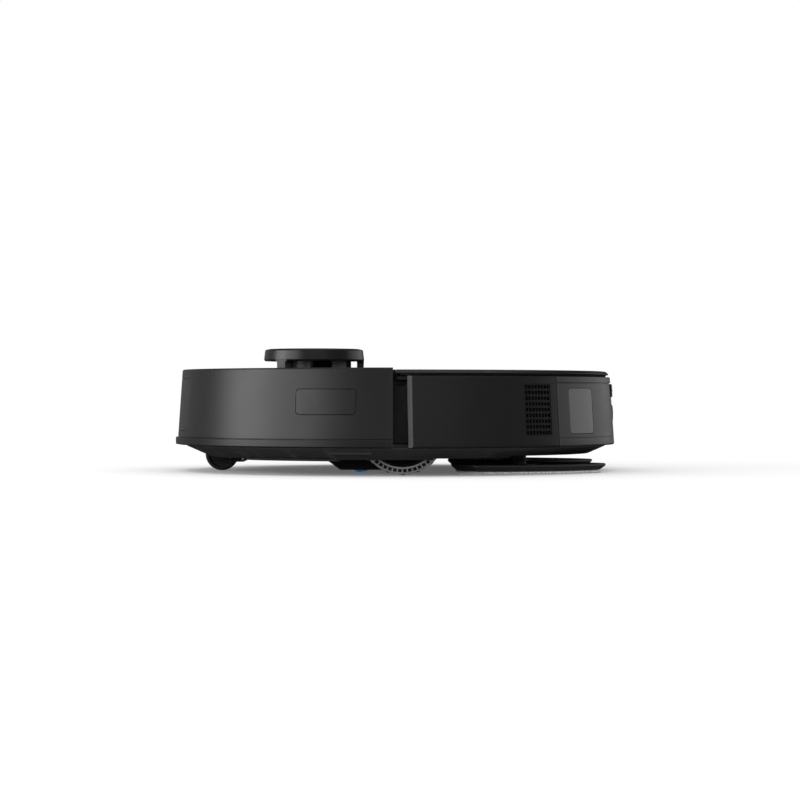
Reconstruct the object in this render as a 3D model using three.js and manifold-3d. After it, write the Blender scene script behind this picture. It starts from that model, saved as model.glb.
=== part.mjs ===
// Robot vacuum with two spinning mops.
// Millimetres, +Z up, origin on the floor under the middle of the body.
// The robot drives towards -Y; its left side is +X.

import * as THREE from 'three';
import { mergeVertices } from 'three/addons/utils/BufferGeometryUtils.js';
import Module from 'manifold-3d';

const wasm = await Module();
wasm.setup();

// ---------- driving dimensions ----------

const GAP = 0.35; // clearance between neighbouring solids

const WALL_BOTTOM_Z = 21;
const BUMPER_TOP_Z = 80;
const WALL_BOTTOM_RADIUS = 174;
const WALL_TOP_RADIUS = 170;
const WALL = 2.4;

const BUMPER_END_Y = -2;
const BUMPER_LIP_RADIUS = 165.5;
const DECK_RADIUS = 162.3;
const DECK_TOP_Z = 78.6;
const DECK_PLATE = 2.5;
const DECK_END_Y = 0.1;
const FRAME_START_Y = 0.7;
const COVER_START_Y = 0.6;

const SHELL_START_Y = 8;
const SHELL_TOP_Z = 74;
const REAR_SEAM = 45; // degrees behind the side axis
const COVER_BOTTOM_Z = 75.6;
const COVER_RADIUS = 169.4;

const BELLY_Z = 11.5;
const PAN_INSIDE_Z = 17;
const MOP_BAY_Z = 14.1;
const MOP_BAY_START_Y = 26.5;
const MOP_LIP_Z = 12.6;
const MOP_LIP_END = 34.5; // degrees behind the side axis

const TURRET_Y = -65.5;
const ROTOR_Y = -59.2;
const ROTOR_RADIUS = 23.8;
const CAP_RADIUS = 40;
const CAP_BOTTOM_Z = 87;
const CAP_TOP_Z = 97;

const WHEEL_Y = 5;
const WHEEL_RADIUS = 34.3;
const WHEEL_INNER_X = 102;
const WHEEL_OUTER_X = 128;
const ARM_PIVOT_Y = -30;
const ARM_PIVOT_Z = 42;

const CASTER_SWIVEL_Y = -132;
const CASTER_Y = -139;
const CASTER_RADIUS = 13;

const ROLLER_Y = -29;
const ROLLER_Z = 21.8;
const ROLLER_RADIUS = 20;
const ROLLER_HALF = 82;

const SIDE_BRUSH_X = -106;
const SIDE_BRUSH_Y = -104;

const MOP_X = 68;
const MOP_Y = 94.4;
const MOP_WIDTH = 117.5;
const MOP_CORNER = 8;

const BIN_HALF = 44;
const BIN_FRONT_Y = 14;
const BIN_REAR_Y = 100;

const BUTTON_RADIUS = 7.5;
const BUTTON_X = 14;
const BUTTON_Y = -14.5;

const INLET_Z = 44;
const INLET_RADIUS = 8;

const MOTOR_Y = -24;
const MOTOR_Z = 60;

const SIDE_BRUSH_REACH = 52;

const FAN_X = -68;
const FAN_Y = 40;

const ROUND_SEGMENTS = 64;
const SMALL_SEGMENTS = 20;
const FAR = 260; // beyond the body, for cutting tools

const degrees = THREE.MathUtils.degToRad;

// ---------- solids ----------

function asSolid(geometry) {
  const plain = geometry.clone();
  for (const name of Object.keys(plain.attributes)) {
    if (name !== 'position') {
      plain.deleteAttribute(name);
    }
  }
  const merged = mergeVertices(plain, 1e-4);
  const points = merged.attributes.position.array;
  const corners = [];
  let volume = 0;
  for (let i = 0; i < merged.index.count; i += 3) {
    const [a, b, c] = [0, 1, 2].map((k) => merged.index.getX(i + k));
    if (a === b || b === c || a === c) {
      continue;
    }
    corners.push(a, b, c);
    const [p, q, r] = [a, b, c].map((k) => new THREE.Vector3().fromArray(points, 3 * k));
    volume += p.dot(q.cross(r)) / 6;
  }
  if (volume < 0) {
    corners.reverse();
  }
  return new wasm.Manifold(new wasm.Mesh({
    numProp: 3,
    vertProperties: Float32Array.from(points),
    triVerts: Uint32Array.from(corners),
  }));
}

function asGeometry(solid) {
  const mesh = solid.getMesh();
  const geometry = new THREE.BufferGeometry();
  geometry.setAttribute('position', new THREE.BufferAttribute(mesh.vertProperties, 3));
  geometry.setIndex(new THREE.BufferAttribute(mesh.triVerts, 1));
  const flat = geometry.toNonIndexed();
  flat.computeVertexNormals();
  return flat;
}

function block(x0, x1, y0, y1, z0, z1) {
  const geometry = new THREE.BoxGeometry(x1 - x0, y1 - y0, z1 - z0);
  return asSolid(geometry.translate((x0 + x1) / 2, (y0 + y1) / 2, (z0 + z1) / 2));
}

// A closed profile of [radius, height] points turned about the vertical through (x, y).
function turned(profile, x = 0, y = 0, segments = ROUND_SEGMENTS) {
  const points = profile.map(([radius, height]) => new THREE.Vector2(radius, height));
  const geometry = new THREE.LatheGeometry(points, segments).rotateX(Math.PI / 2);
  return asSolid(geometry.translate(x, y, 0));
}

function loop(points) {
  return [...points, points[0]];
}

function disc(radius, z0, z1, x = 0, y = 0, segments = SMALL_SEGMENTS) {
  return turned([[0, z0], [radius, z0], [radius, z1], [0, z1]], x, y, segments);
}

// A profile of [radius, x] points turned about the X direction through (y, z).
function turnedAlongX(profile, y, z, segments = SMALL_SEGMENTS) {
  const points = profile.map(([radius, along]) => new THREE.Vector2(radius, along));
  const geometry = new THREE.LatheGeometry(points, segments).rotateZ(-Math.PI / 2);
  return asSolid(geometry.translate(0, y, z));
}

function rod(radius, x0, x1, y, z, segments = SMALL_SEGMENTS) {
  return turnedAlongX([[0, x0], [radius, x0], [radius, x1], [0, x1]], y, z, segments);
}

function outline(points) {
  return new THREE.Shape(points.map(([x, y]) => new THREE.Vector2(x, y)));
}

function upright(shape, z0, z1, curveSegments = 12) {
  const options = { depth: z1 - z0, bevelEnabled: false, curveSegments };
  return asSolid(new THREE.ExtrudeGeometry(shape, options).translate(0, 0, z0));
}

// A shape drawn in (y, z), given a length along X.
function alongX(shape, x0, x1, curveSegments = 12) {
  const options = { depth: x1 - x0, bevelEnabled: false, curveSegments };
  const geometry = new THREE.ExtrudeGeometry(shape, options);
  const turn = new THREE.Matrix4().makeBasis(
    new THREE.Vector3(0, 1, 0),
    new THREE.Vector3(0, 0, 1),
    new THREE.Vector3(1, 0, 0),
  );
  return asSolid(geometry.applyMatrix4(turn).translate(x0, 0, 0));
}

function roundedRectangle(x0, x1, y0, y1, corner) {
  const shape = new THREE.Shape();
  shape.moveTo(x0 + corner, y0);
  shape.lineTo(x1 - corner, y0);
  shape.absarc(x1 - corner, y0 + corner, corner, -Math.PI / 2, 0);
  shape.lineTo(x1, y1 - corner);
  shape.absarc(x1 - corner, y1 - corner, corner, 0, Math.PI / 2);
  shape.lineTo(x0 + corner, y1);
  shape.absarc(x0 + corner, y1 - corner, corner, Math.PI / 2, Math.PI);
  shape.lineTo(x0, y0 + corner);
  shape.absarc(x0 + corner, y0 + corner, corner, Math.PI, 1.5 * Math.PI);
  return shape;
}

// A rounded rectangle pushed through the wall at an angle behind the side axis.
function throughWall(width, z0, z1, corner, angle, grow = 0) {
  const half = width / 2 + grow;
  const shape = roundedRectangle(-half, half, z0 - grow, z1 + grow, corner);
  return alongX(shape, 140, 200, 3).rotate([0, 0, angle]);
}

function mirrored(solid) {
  return solid.mirror([1, 0, 0]);
}

function joined(...solids) {
  return solids.reduce((whole, next) => whole.add(next));
}

// The part of a turned body between two angles behind the side axis.
function between(solid, from, to) {
  const points = [[0, 0]];
  const steps = 6;
  for (let i = 0; i <= steps; i += 1) {
    const angle = degrees(from + ((to - from) * i) / steps);
    points.push([FAR * Math.cos(angle), FAR * Math.sin(angle)]);
  }
  return solid.intersect(upright(outline(points), -10, 120));
}

function behind(solid, y) {
  return solid.intersect(block(-FAR, FAR, y, FAR, -10, 120));
}

function ahead(solid, y) {
  return solid.intersect(block(-FAR, FAR, -FAR, y, -10, 120));
}

// The outer wall leans in slightly towards the top.
function wallRadius(z) {
  const rise = (z - WALL_BOTTOM_Z) / (BUMPER_TOP_Z - WALL_BOTTOM_Z);
  return WALL_BOTTOM_RADIUS + (WALL_TOP_RADIUS - WALL_BOTTOM_RADIUS) * rise;
}

function wallRing(z0, z1, thickness = WALL, proud = 0) {
  return turned(loop([
    [wallRadius(z0) - thickness, z0],
    [wallRadius(z0) + proud, z0],
    [wallRadius(z1) + proud, z1],
    [wallRadius(z1) - thickness, z1],
  ]));
}

// ---------- finishes ----------

function finish(color, roughness, metalness = 0) {
  return { color, roughness, metalness };
}

const CHARCOAL = finish(0x232325, 0.5);
const BLACK = finish(0x141416, 0.6);
const GLOSS_BLACK = finish(0x0c0c0e, 0.15);
const DARK_GREY = finish(0x303034, 0.7);
const TYRE_GREY = finish(0x6b6b6d, 0.85);
const PAD_GREY = finish(0xa8a8aa, 0.95);
const BLUE = finish(0x2a78d8, 0.7);
const STEEL = finish(0xb8bcc0, 0.35, 1);
const GOLD = finish(0xc9a45c, 0.3, 1);
const BOARD_GREEN = finish(0x1f5a3a, 0.6);
const SMOKED = finish(0x3a3d42, 0.25);
const BATTERY_BLUE = finish(0x24406e, 0.5);

const robot = new THREE.Group();

function add(name, solid, look) {
  const mesh = new THREE.Mesh(asGeometry(solid), new THREE.MeshStandardMaterial(look));
  mesh.name = name;
  robot.add(mesh);
}

// ---------- windows, grilles and plates set into the wall ----------

const SIDE_WINDOW = { width: 47.2, z0: 45.1, z1: 64.5, corner: 3, angle: -17.6 };
const FRONT_WINDOW = { width: 121, z0: 32, z1: 72.8, corner: 4, angle: -90 };
const VENT = { width: 26.2, z0: 29.4, z1: 68.4, corner: 1.5, angle: 38.25 };
const REAR_PLATE = { width: 35, z0: 30.4, z1: 65.2, corner: 3, angle: 55.5 };
const CONTACT = { width: 9, z0: 58, z1: 69, corner: 1, angle: 82 };

function hole(set) {
  return throughWall(set.width, set.z0, set.z1, set.corner, set.angle);
}

function plug(set, thickness, proud = 0) {
  const cut = throughWall(set.width, set.z0, set.z1, set.corner - GAP, set.angle, -GAP);
  return wallRing(set.z0 - 4, set.z1 + 4, thickness, proud).intersect(cut);
}

function addBothSides(name, solid, look) {
  add(`${name}_left`, solid, look);
  add(`${name}_right`, mirrored(solid), look);
}

// ---------- chassis ----------

function makeChassis() {
  const bowl = turned([
    [0, BELLY_Z], [147.5, BELLY_Z], [166.5, 19.9], [166.5, WALL_BOTTOM_Z - GAP],
    [163, WALL_BOTTOM_Z - GAP], [163, 23.6], [160.5, 23.6], [155, PAN_INSIDE_Z],
    [0, PAN_INSIDE_Z],
  ]);
  const casterCup = disc(24, PAN_INSIDE_Z - 1, 33.5, 0, CASTER_SWIVEL_Y);
  let pan = bowl.add(casterCup);
  const mopBay = block(-FAR, FAR, MOP_BAY_START_Y, FAR, 0, MOP_BAY_Z);
  const casterWell = disc(21.6, 0, 31.3, 0, CASTER_SWIVEL_Y);
  const casterBearing = disc(5.6, 30, 40, 0, CASTER_SWIVEL_Y);
  const rollerSlot = block(-84.5, 84.5, -50.5, -7.5, 0, 40);
  const sideBrushBore = disc(9, 0, 40, SIDE_BRUSH_X, SIDE_BRUSH_Y);
  for (const cut of [mopBay, casterWell, casterBearing, rollerSlot, sideBrushBore]) {
    pan = pan.subtract(cut);
  }
  const wheelWell = block(91, 131.5, -37, 42, 0, 40);
  const mopBore = disc(7.4, 0, 40, MOP_X, MOP_Y);
  const cliffPocket = block(-8, 8, -148, -138, 0, 14.5).rotate([0, 0, 32]);
  for (const cut of [wheelWell, mopBore, cliffPocket]) {
    pan = pan.subtract(cut).subtract(mirrored(cut));
  }
  const lipRing = turned(loop([
    [140, MOP_LIP_Z], [149.9, MOP_LIP_Z], [153.5, MOP_BAY_Z + 0.2], [140, MOP_BAY_Z + 0.2],
  ]));
  const lip = behind(between(lipRing, 0, MOP_LIP_END), MOP_BAY_START_Y - 1);
  return joined(pan, lip, mirrored(lip));
}

function makeCliffSensor() {
  return block(-7.6, 7.6, -147.6, -138.4, 11.8, 14.1).rotate([0, 0, 32]);
}

// ---------- fixed top and sides ----------

function makeFrontDeck() {
  const plateBottom = DECK_TOP_Z - DECK_PLATE;
  const shell = turned([
    [0, plateBottom], [DECK_RADIUS - WALL, plateBottom], [DECK_RADIUS - WALL, 24],
    [DECK_RADIUS, 24], [DECK_RADIUS, DECK_TOP_Z - 0.8], [DECK_RADIUS - 0.8, DECK_TOP_Z],
    [0, DECK_TOP_Z],
  ]);
  const turretHole = disc(37.6, 60, 90, 0, TURRET_Y, 36);
  let deck = ahead(shell, DECK_END_Y).subtract(turretHole);
  const pillarNotch = block(155, FAR, -7, 10, 0, plateBottom - 0.5);
  deck = deck.subtract(pillarNotch).subtract(mirrored(pillarNotch));
  for (const side of [1, -1]) {
    deck = deck.subtract(disc(BUTTON_RADIUS + 0.4, 60, 90, side * BUTTON_X, BUTTON_Y));
  }
  return deck;
}

function makeButton(side) {
  return turned([
    [0, 73.4], [9, 73.4], [9, 75], [BUTTON_RADIUS, 75], [BUTTON_RADIUS, DECK_TOP_Z],
    [6.9, DECK_TOP_Z + 0.5], [0, DECK_TOP_Z + 0.5],
  ], side * BUTTON_X, BUTTON_Y, SMALL_SEGMENTS);
}

function makeMidFrame() {
  const plate = turned([[0, 70.8], [167.4, 70.8], [167.4, 73.6], [0, 73.6]]);
  const coverRest = turned(loop([[152, 73], [158, 73], [158, 75.2], [152, 75.2]]));
  const binOpening = block(-BIN_HALF - 2, BIN_HALF + 2, BIN_FRONT_Y - 2, BIN_REAR_Y + 2, 60, 90);
  return behind(plate.add(coverRest), FRAME_START_Y).subtract(binOpening);
}

function makeSidePillar() {
  const stepped = turned(loop([
    [159.5, 24.2], [165, 24.2], [165, 66.5], [162, 66.5], [162, 70.3], [159.5, 70.3],
  ]));
  return stepped.intersect(block(100, FAR, -6.4, 9.6, 0, 100));
}

function makeRearShell() {
  const wall = wallRing(WALL_BOTTOM_Z, SHELL_TOP_Z);
  const bottomLip = turned(loop([
    [163.5, WALL_BOTTOM_Z], [173, WALL_BOTTOM_Z], [173, 23], [163.5, 23],
  ]));
  const frontRib = turned(loop([[166.4, 24], [170.5, 24], [168.5, 70.3], [166.4, 70.3]]));
  const rib = frontRib.intersect(block(100, FAR, SHELL_START_Y, 14, 0, 100));
  let shell = behind(between(wall.add(bottomLip), 0, REAR_SEAM - 0.1), SHELL_START_Y).add(rib);
  const chamfer = outline([[167.5, 7], [FAR, 7], [FAR, 40], [174.5, 13.2], [170, 8.4]]);
  shell = shell.subtract(upright(chamfer, 0, 100));
  return shell.subtract(hole(VENT));
}

function makeVentGrille() {
  let grille = plug(VENT, 2, -0.3);
  const rows = 9;
  const columns = 2;
  const pitchZ = (VENT.z1 - VENT.z0 - 2) / rows;
  const pitchY = (VENT.width - 2.4) / columns;
  for (let row = 0; row < rows; row += 1) {
    for (let column = 0; column < columns; column += 1) {
      const z = VENT.z0 + 1 + pitchZ * (row + 0.5);
      const y = pitchY * (column - (columns - 1) / 2);
      const slot = block(150, 190, y - pitchY / 2 + 0.7, y + pitchY / 2 - 0.7, z - 1.2, z + 1.2);
      grille = grille.subtract(slot.rotate([0, 0, VENT.angle]));
    }
  }
  return grille;
}

function radialDisc(radius, from, to) {
  return rod(radius, from, to, 0, INLET_Z).rotate([0, 0, 90]);
}

function makeRearPanel() {
  const wall = wallRing(WALL_BOTTOM_Z, SHELL_TOP_Z);
  const bottomLip = turned(loop([
    [163.5, WALL_BOTTOM_Z], [173, WALL_BOTTOM_Z], [173, 23], [163.5, 23],
  ]));
  const groove = turned(loop([[171 - 0.9, 68.6], [FAR, 68.6], [FAR, 69.5], [171 - 0.9, 69.5]]));
  let panel = between(wall.add(bottomLip), REAR_SEAM + 0.1, 180 - REAR_SEAM - 0.1);
  panel = panel.subtract(groove);
  for (const cut of [hole(REAR_PLATE), hole(CONTACT)]) {
    panel = panel.subtract(cut).subtract(mirrored(cut));
  }
  return panel.subtract(radialDisc(INLET_RADIUS + GAP, 150, 190));
}

function makeWaterInlet() {
  const collar = radialDisc(INLET_RADIUS, 166, 173);
  return collar.subtract(radialDisc(5, 168, 180));
}

function makeTopCover() {
  const plate = turned([
    [0, COVER_BOTTOM_Z], [COVER_RADIUS - 0.8, COVER_BOTTOM_Z], [COVER_RADIUS, 76.2],
    [COVER_RADIUS - 2.8, 77.8], [COVER_RADIUS - 6, DECK_TOP_Z], [0, DECK_TOP_Z],
  ]);
  return behind(plate, COVER_START_Y);
}

// ---------- bumper ----------

function makeBumperShell() {
  const shell = turned(loop([
    [wallRadius(WALL_BOTTOM_Z) - WALL, WALL_BOTTOM_Z], [wallRadius(WALL_BOTTOM_Z), WALL_BOTTOM_Z],
    [wallRadius(79.2), 79.2], [wallRadius(79.2) - 0.8, BUMPER_TOP_Z],
    [BUMPER_LIP_RADIUS, BUMPER_TOP_Z], [BUMPER_LIP_RADIUS, 78.2],
    [wallRadius(78.2) - WALL, 78.2],
  ]));
  let bumper = ahead(shell, BUMPER_END_Y).subtract(hole(FRONT_WINDOW));
  const side = hole(SIDE_WINDOW);
  return bumper.subtract(side).subtract(mirrored(side));
}

function makeBumperStrip() {
  const reach = degrees(72);
  const shape = new THREE.Shape();
  shape.absarc(0, -1.2, WALL_BOTTOM_RADIUS + 0.2, -Math.PI / 2 - reach, -Math.PI / 2 + reach, false);
  shape.absarc(0, 0, WALL_BOTTOM_RADIUS + 0.3, -Math.PI / 2 + reach, -Math.PI / 2 - reach, true);
  return upright(shape, WALL_BOTTOM_Z + 0.2, 26.8, 22);
}

// ---------- turret ----------

function makeTurretBase() {
  const plate = turned([
    [0, 68], [30, 68], [30, 74.9], [37.2, 74.9], [37.2, 79.2], [0, 79.2],
  ], 0, TURRET_Y, 36);
  return plate.subtract(disc(9.5, 60, 90, 0, ROTOR_Y, 24));
}

function makeTurretRotor() {
  const body = turned([
    [0, 70], [8.5, 70], [8.5, 79.7], [ROTOR_RADIUS, 79.7], [ROTOR_RADIUS, 88.4], [0, 88.4],
  ], 0, ROTOR_Y, 32);
  return body.subtract(block(19, 30, ROTOR_Y - 8.5, ROTOR_Y + 8.5, 80.7, 87.4));
}

// Each leg sits at [angle behind the side axis, inner radius, outer radius, width].
const CAP_LEGS = [
  [-39.3, 32, 39.4, 8.2],
  [-140.7, 32, 39.4, 8.2],
  [90, 34.6, 39.6, 8.2],
];

function makeTurretCap() {
  const dome = turned([
    [0, CAP_BOTTOM_Z], [CAP_RADIUS - 0.8, CAP_BOTTOM_Z], [CAP_RADIUS, CAP_BOTTOM_Z + 0.8],
    [CAP_RADIUS - 0.4, 94.6], [CAP_RADIUS - 2.2, 96.6], [0, CAP_TOP_Z],
  ], 0, TURRET_Y, 40);
  const legs = CAP_LEGS.map(([angle, inner, outer, width]) => (
    block(inner, outer, -width / 2, width / 2, 80.8, CAP_BOTTOM_Z + 2)
      .rotate([0, 0, angle]).translate([0, TURRET_Y, 0])
  ));
  const hollow = disc(ROTOR_RADIUS + 1.2, 80, 90, 0, ROTOR_Y, 32);
  return joined(dome, ...legs).subtract(hollow);
}

// ---------- drive wheels ----------

function circlePoints(y, z, radius, steps) {
  const points = [];
  for (let i = 0; i < steps; i += 1) {
    const angle = (2 * Math.PI * i) / steps;
    points.push([y + radius * Math.cos(angle), z + radius * Math.sin(angle)]);
  }
  return points;
}

function capsule(y0, z0, radius0, y1, z1, radius1, x0, x1) {
  const ends = [...circlePoints(y0, z0, radius0, 16), ...circlePoints(y1, z1, radius1, 16)];
  return alongX(outline(hullOf(ends)), x0, x1);
}

// Outline of a set of points, walked the short way round.
function hullOf(points) {
  const sorted = [...points].sort((a, b) => a[0] - b[0] || a[1] - b[1]);
  const half = (list) => {
    const kept = [];
    for (const p of list) {
      while (kept.length > 1) {
        const [a, b] = kept.slice(-2);
        if ((b[0] - a[0]) * (p[1] - a[1]) - (b[1] - a[1]) * (p[0] - a[0]) > 1e-6) {
          break;
        }
        kept.pop();
      }
      kept.push(p);
    }
    return kept.slice(0, -1);
  };
  return [...half(sorted), ...half(sorted.reverse())];
}

function makeWheelArm() {
  const arm = capsule(ARM_PIVOT_Y, ARM_PIVOT_Z, 12, WHEEL_Y, WHEEL_RADIUS, 14, 92, 99.5);
  const tower = capsule(ARM_PIVOT_Y, ARM_PIVOT_Z, 12, MOTOR_Y, MOTOR_Z, 11, 92, 99.5);
  return joined(arm, tower, rod(4, 99, 124, WHEEL_Y, WHEEL_RADIUS));
}

function makeDriveMotor() {
  return rod(9, 56, 91.6, MOTOR_Y, MOTOR_Z);
}

function makeWheelHub() {
  return turnedAlongX(loop([
    [4.4, 100.2], [28, 100.2], [28, 126.4], [24, 127.4], [4.4, 126.2],
  ]), WHEEL_Y, WHEEL_RADIUS, 24);
}

function makeTyre() {
  const lugs = 18;
  const shape = new THREE.Shape();
  const pitch = (2 * Math.PI) / lugs;
  for (let i = 0; i < lugs; i += 1) {
    const middle = pitch * (i + 0.5);
    const steps = [[-0.22, -1.4], [-0.16, 0], [0.16, 0], [0.22, -1.4]];
    for (const [part, depth] of steps) {
      const angle = middle + part * pitch;
      const radius = WHEEL_RADIUS + depth;
      const point = [WHEEL_Y + radius * Math.cos(angle), WHEEL_RADIUS + radius * Math.sin(angle)];
      if (i === 0 && part === steps[0][0]) {
        shape.moveTo(...point);
      } else {
        shape.lineTo(...point);
      }
    }
  }
  const ring = alongX(shape, WHEEL_INNER_X, WHEEL_OUTER_X);
  return ring.subtract(rod(28.6, 90, 140, WHEEL_Y, WHEEL_RADIUS, 24));
}

// ---------- caster ----------

function makeCasterFork() {
  const puck = disc(19.5, 17, 30.4, 0, CASTER_SWIVEL_Y, 28);
  const stem = disc(5, 30, 42, 0, CASTER_SWIVEL_Y, 20);
  const cheek = outline([[-146, 18], [-147, 12], [-143, 8.4], [-127, 7], [-124, 8.4], [-120, 18]]);
  const cheeks = alongX(cheek, -10.4, 10.4);
  const slot = block(-7.2, 7.2, -160, -124.6, 0, 27.2);
  const axleHole = rod(1.8, -20, 20, CASTER_Y, CASTER_RADIUS, 16);
  return joined(puck, stem, cheeks).subtract(slot).subtract(axleHole);
}

function makeCasterWheel() {
  return turnedAlongX(loop([
    [1.9, -6.4], [11.8, -6.4], [CASTER_RADIUS, -5.2], [CASTER_RADIUS, 5.2], [11.8, 6.4], [1.9, 6.4],
  ]), CASTER_Y, CASTER_RADIUS, 24);
}

// ---------- main roller ----------

function makeRollerBrush() {
  const fins = 6;
  const core = rod(9, -ROLLER_HALF, ROLLER_HALF, ROLLER_Y, ROLLER_Z, 24);
  const pieces = [core];
  for (let i = 0; i < fins; i += 1) {
    const fin = block(-ROLLER_HALF + 3, ROLLER_HALF - 3, -1.6, 1.6, -ROLLER_RADIUS, -8);
    pieces.push(fin.rotate([(360 * i) / fins, 0, 0]).translate([0, ROLLER_Y, ROLLER_Z]));
  }
  return joined(...pieces);
}

function makeRollerGuard() {
  const skirt = alongX(outline([[-50, 11.1], [-42.6, 2.7], [-10.4, 2.7], [-6.4, 11.1]]), -90, 90);
  const flange = block(-90, 90, -53, -2.6, 9.6, 11.1);
  const tunnel = rod(ROLLER_RADIUS + 1.2, -84, 84, ROLLER_Y, ROLLER_Z, 24);
  return skirt.add(flange).subtract(tunnel);
}

function makeRollerHousing() {
  const outside = rod(24, -88, 88, ROLLER_Y, ROLLER_Z, 24);
  const inside = rod(22.4, -84, 84, ROLLER_Y, ROLLER_Z, 24);
  const above = block(-100, 100, -60, 0, PAN_INSIDE_Z + 0.4, 60);
  const suctionMouth = block(-26, 26, ROLLER_Y + 4, 0, 34, 60);
  return outside.subtract(inside).intersect(above).subtract(suctionMouth);
}

// ---------- side brush ----------

function makeSideBrush() {
  const pieces = [disc(7, 6, 22, SIDE_BRUSH_X, SIDE_BRUSH_Y)];
  for (const angle of [90, 210, 330]) {
    const arm = new THREE.Shape();
    arm.moveTo(0, 10);
    arm.lineTo(SIDE_BRUSH_REACH, 5);
    arm.lineTo(SIDE_BRUSH_REACH, 3);
    arm.lineTo(0, 7);
    const blade = new THREE.ExtrudeGeometry(arm, { depth: 6, bevelEnabled: false });
    blade.rotateX(Math.PI / 2).translate(0, 3, 0);
    pieces.push(asSolid(blade).rotate([0, 0, angle]).translate([SIDE_BRUSH_X, SIDE_BRUSH_Y, 0]));
  }
  return joined(...pieces);
}

// ---------- mops ----------

// A rounded triangle of constant width: three wide arcs joined by three small ones.
function mopOutline(inset) {
  const side = MOP_WIDTH - 2 * MOP_CORNER;
  const reach = side / Math.sqrt(3);
  const shape = new THREE.Shape();
  for (let i = 0; i < 3; i += 1) {
    const corner = degrees(90 + 120 * i);
    const opposite = degrees(90 + 120 * i + 180 + 60);
    const at = (angle) => [MOP_X + reach * Math.cos(angle), MOP_Y + reach * Math.sin(angle)];
    shape.absarc(...at(corner), MOP_CORNER - inset, corner - Math.PI / 6, corner + Math.PI / 6);
    shape.absarc(...at(opposite), side + MOP_CORNER - inset, corner + Math.PI / 6,
      corner + Math.PI / 2);
  }
  return shape;
}

function makeMopDisc() {
  const plate = upright(mopOutline(0), 2.3, 5.4, 6);
  const hub = disc(6.3, 5, 31, MOP_X, MOP_Y);
  return joined(plate, hub);
}

function makeMopPad() {
  return upright(mopOutline(4.5), 0.3, 1.9, 6);
}

function makeMopGearbox() {
  const shape = roundedRectangle(MOP_X - 19.5, MOP_X + 20, MOP_Y - 20, MOP_Y + 20, 5);
  return upright(shape, 18.6, 38, 2).subtract(disc(6.9, 10, 34, MOP_X, MOP_Y));
}

// ---------- inner works ----------

function makeDustBin() {
  const outside = block(-BIN_HALF, BIN_HALF, BIN_FRONT_Y, BIN_REAR_Y, 36, 70.4);
  const inside = block(-BIN_HALF + 2, BIN_HALF - 2, BIN_FRONT_Y + 2, BIN_REAR_Y - 2, 38, 80);
  const inlet = block(-24, 24, 0, BIN_FRONT_Y + 3, 44, 60);
  return outside.subtract(inside).subtract(inlet);
}

function makeDustBinLid() {
  const lid = block(-BIN_HALF, BIN_HALF, BIN_FRONT_Y, BIN_REAR_Y, 70.8, 74.6);
  return lid.subtract(block(-20, 20, 22, 40, 72.2, 80));
}

function makeFanHousing() {
  return turned(loop([
    [3, 20], [18.6, 20], [18.6, 60], [10, 60], [10, 58.4], [16.6, 58.4], [16.6, 44], [3, 44],
  ]), FAN_X, FAN_Y, 24);
}

function makeFanImpeller() {
  const blades = 7;
  const pieces = [disc(15.2, 45, 46.6, FAN_X, FAN_Y, 20), disc(4.5, 46, 57, FAN_X, FAN_Y, 16)];
  pieces.push(disc(2.4, 30, 46, FAN_X, FAN_Y, 12));
  for (let i = 0; i < blades; i += 1) {
    const blade = block(3.5, 14.6, -0.6, 0.6, 46, 56).rotate([0, 0, (360 * i) / blades]);
    pieces.push(blade.translate([FAN_X, FAN_Y, 0]));
  }
  return joined(...pieces);
}

function makeWaterTank() {
  const outside = upright(roundedRectangle(-60, 60, 119, 145, 4), 21, 68, 2);
  const inside = block(-57.5, 57.5, 121.5, 142.5, 23.5, 65.5);
  const filler = disc(5, 60, 75, 0, 132);
  return outside.subtract(inside).subtract(filler);
}

// ---------- the robot ----------

add('base_chassis', makeChassis(), CHARCOAL);
addBothSides('cliff_sensor', makeCliffSensor(), GLOSS_BLACK);
add('front_deck', makeFrontDeck(), CHARCOAL);
add('mid_frame', makeMidFrame(), DARK_GREY);
addBothSides('side_pillar', makeSidePillar(), BLACK);
addBothSides('rear_shell', makeRearShell(), CHARCOAL);
addBothSides('vent_grille', makeVentGrille(), BLACK);
add('rear_panel', makeRearPanel(), CHARCOAL);
addBothSides('rear_window', plug(REAR_PLATE, 2), SMOKED);
addBothSides('charge_contact', plug(CONTACT, 2, 1.3), GOLD);
add('water_inlet', makeWaterInlet(), BLACK);
add('top_cover', makeTopCover(), CHARCOAL);

add('bumper_shell', makeBumperShell(), CHARCOAL);
add('bumper_strip', makeBumperStrip(), BLACK);
add('front_window', plug(FRONT_WINDOW, 2), GLOSS_BLACK);
addBothSides('side_window', plug(SIDE_WINDOW, 2), GLOSS_BLACK);

add('turret_base', makeTurretBase(), BLACK);
add('turret_rotor', makeTurretRotor(), BLACK);
add('turret_cap', makeTurretCap(), CHARCOAL);
add('start_button', makeButton(1), GLOSS_BLACK);
add('home_button', makeButton(-1), GLOSS_BLACK);

addBothSides('wheel_arm', makeWheelArm(), DARK_GREY);
addBothSides('drive_motor', makeDriveMotor(), STEEL);
addBothSides('wheel_hub', makeWheelHub(), BLACK);
addBothSides('tyre', makeTyre(), TYRE_GREY);

add('caster_fork', makeCasterFork(), BLACK);
add('caster_axle', rod(1.5, -10, 10, CASTER_Y, CASTER_RADIUS, 16), STEEL);
add('caster_wheel', makeCasterWheel(), BLACK);

add('roller_brush', makeRollerBrush(), BLUE);
add('roller_brush_guard', makeRollerGuard(), BLACK);
add('roller_housing', makeRollerHousing(), DARK_GREY);
add('roller_motor', rod(9, 20, 84, -60, 44), STEEL);
add('side_brush', makeSideBrush(), BLUE);
add('side_brush_motor', disc(10.5, 23, 50, SIDE_BRUSH_X, SIDE_BRUSH_Y), STEEL);

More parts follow.
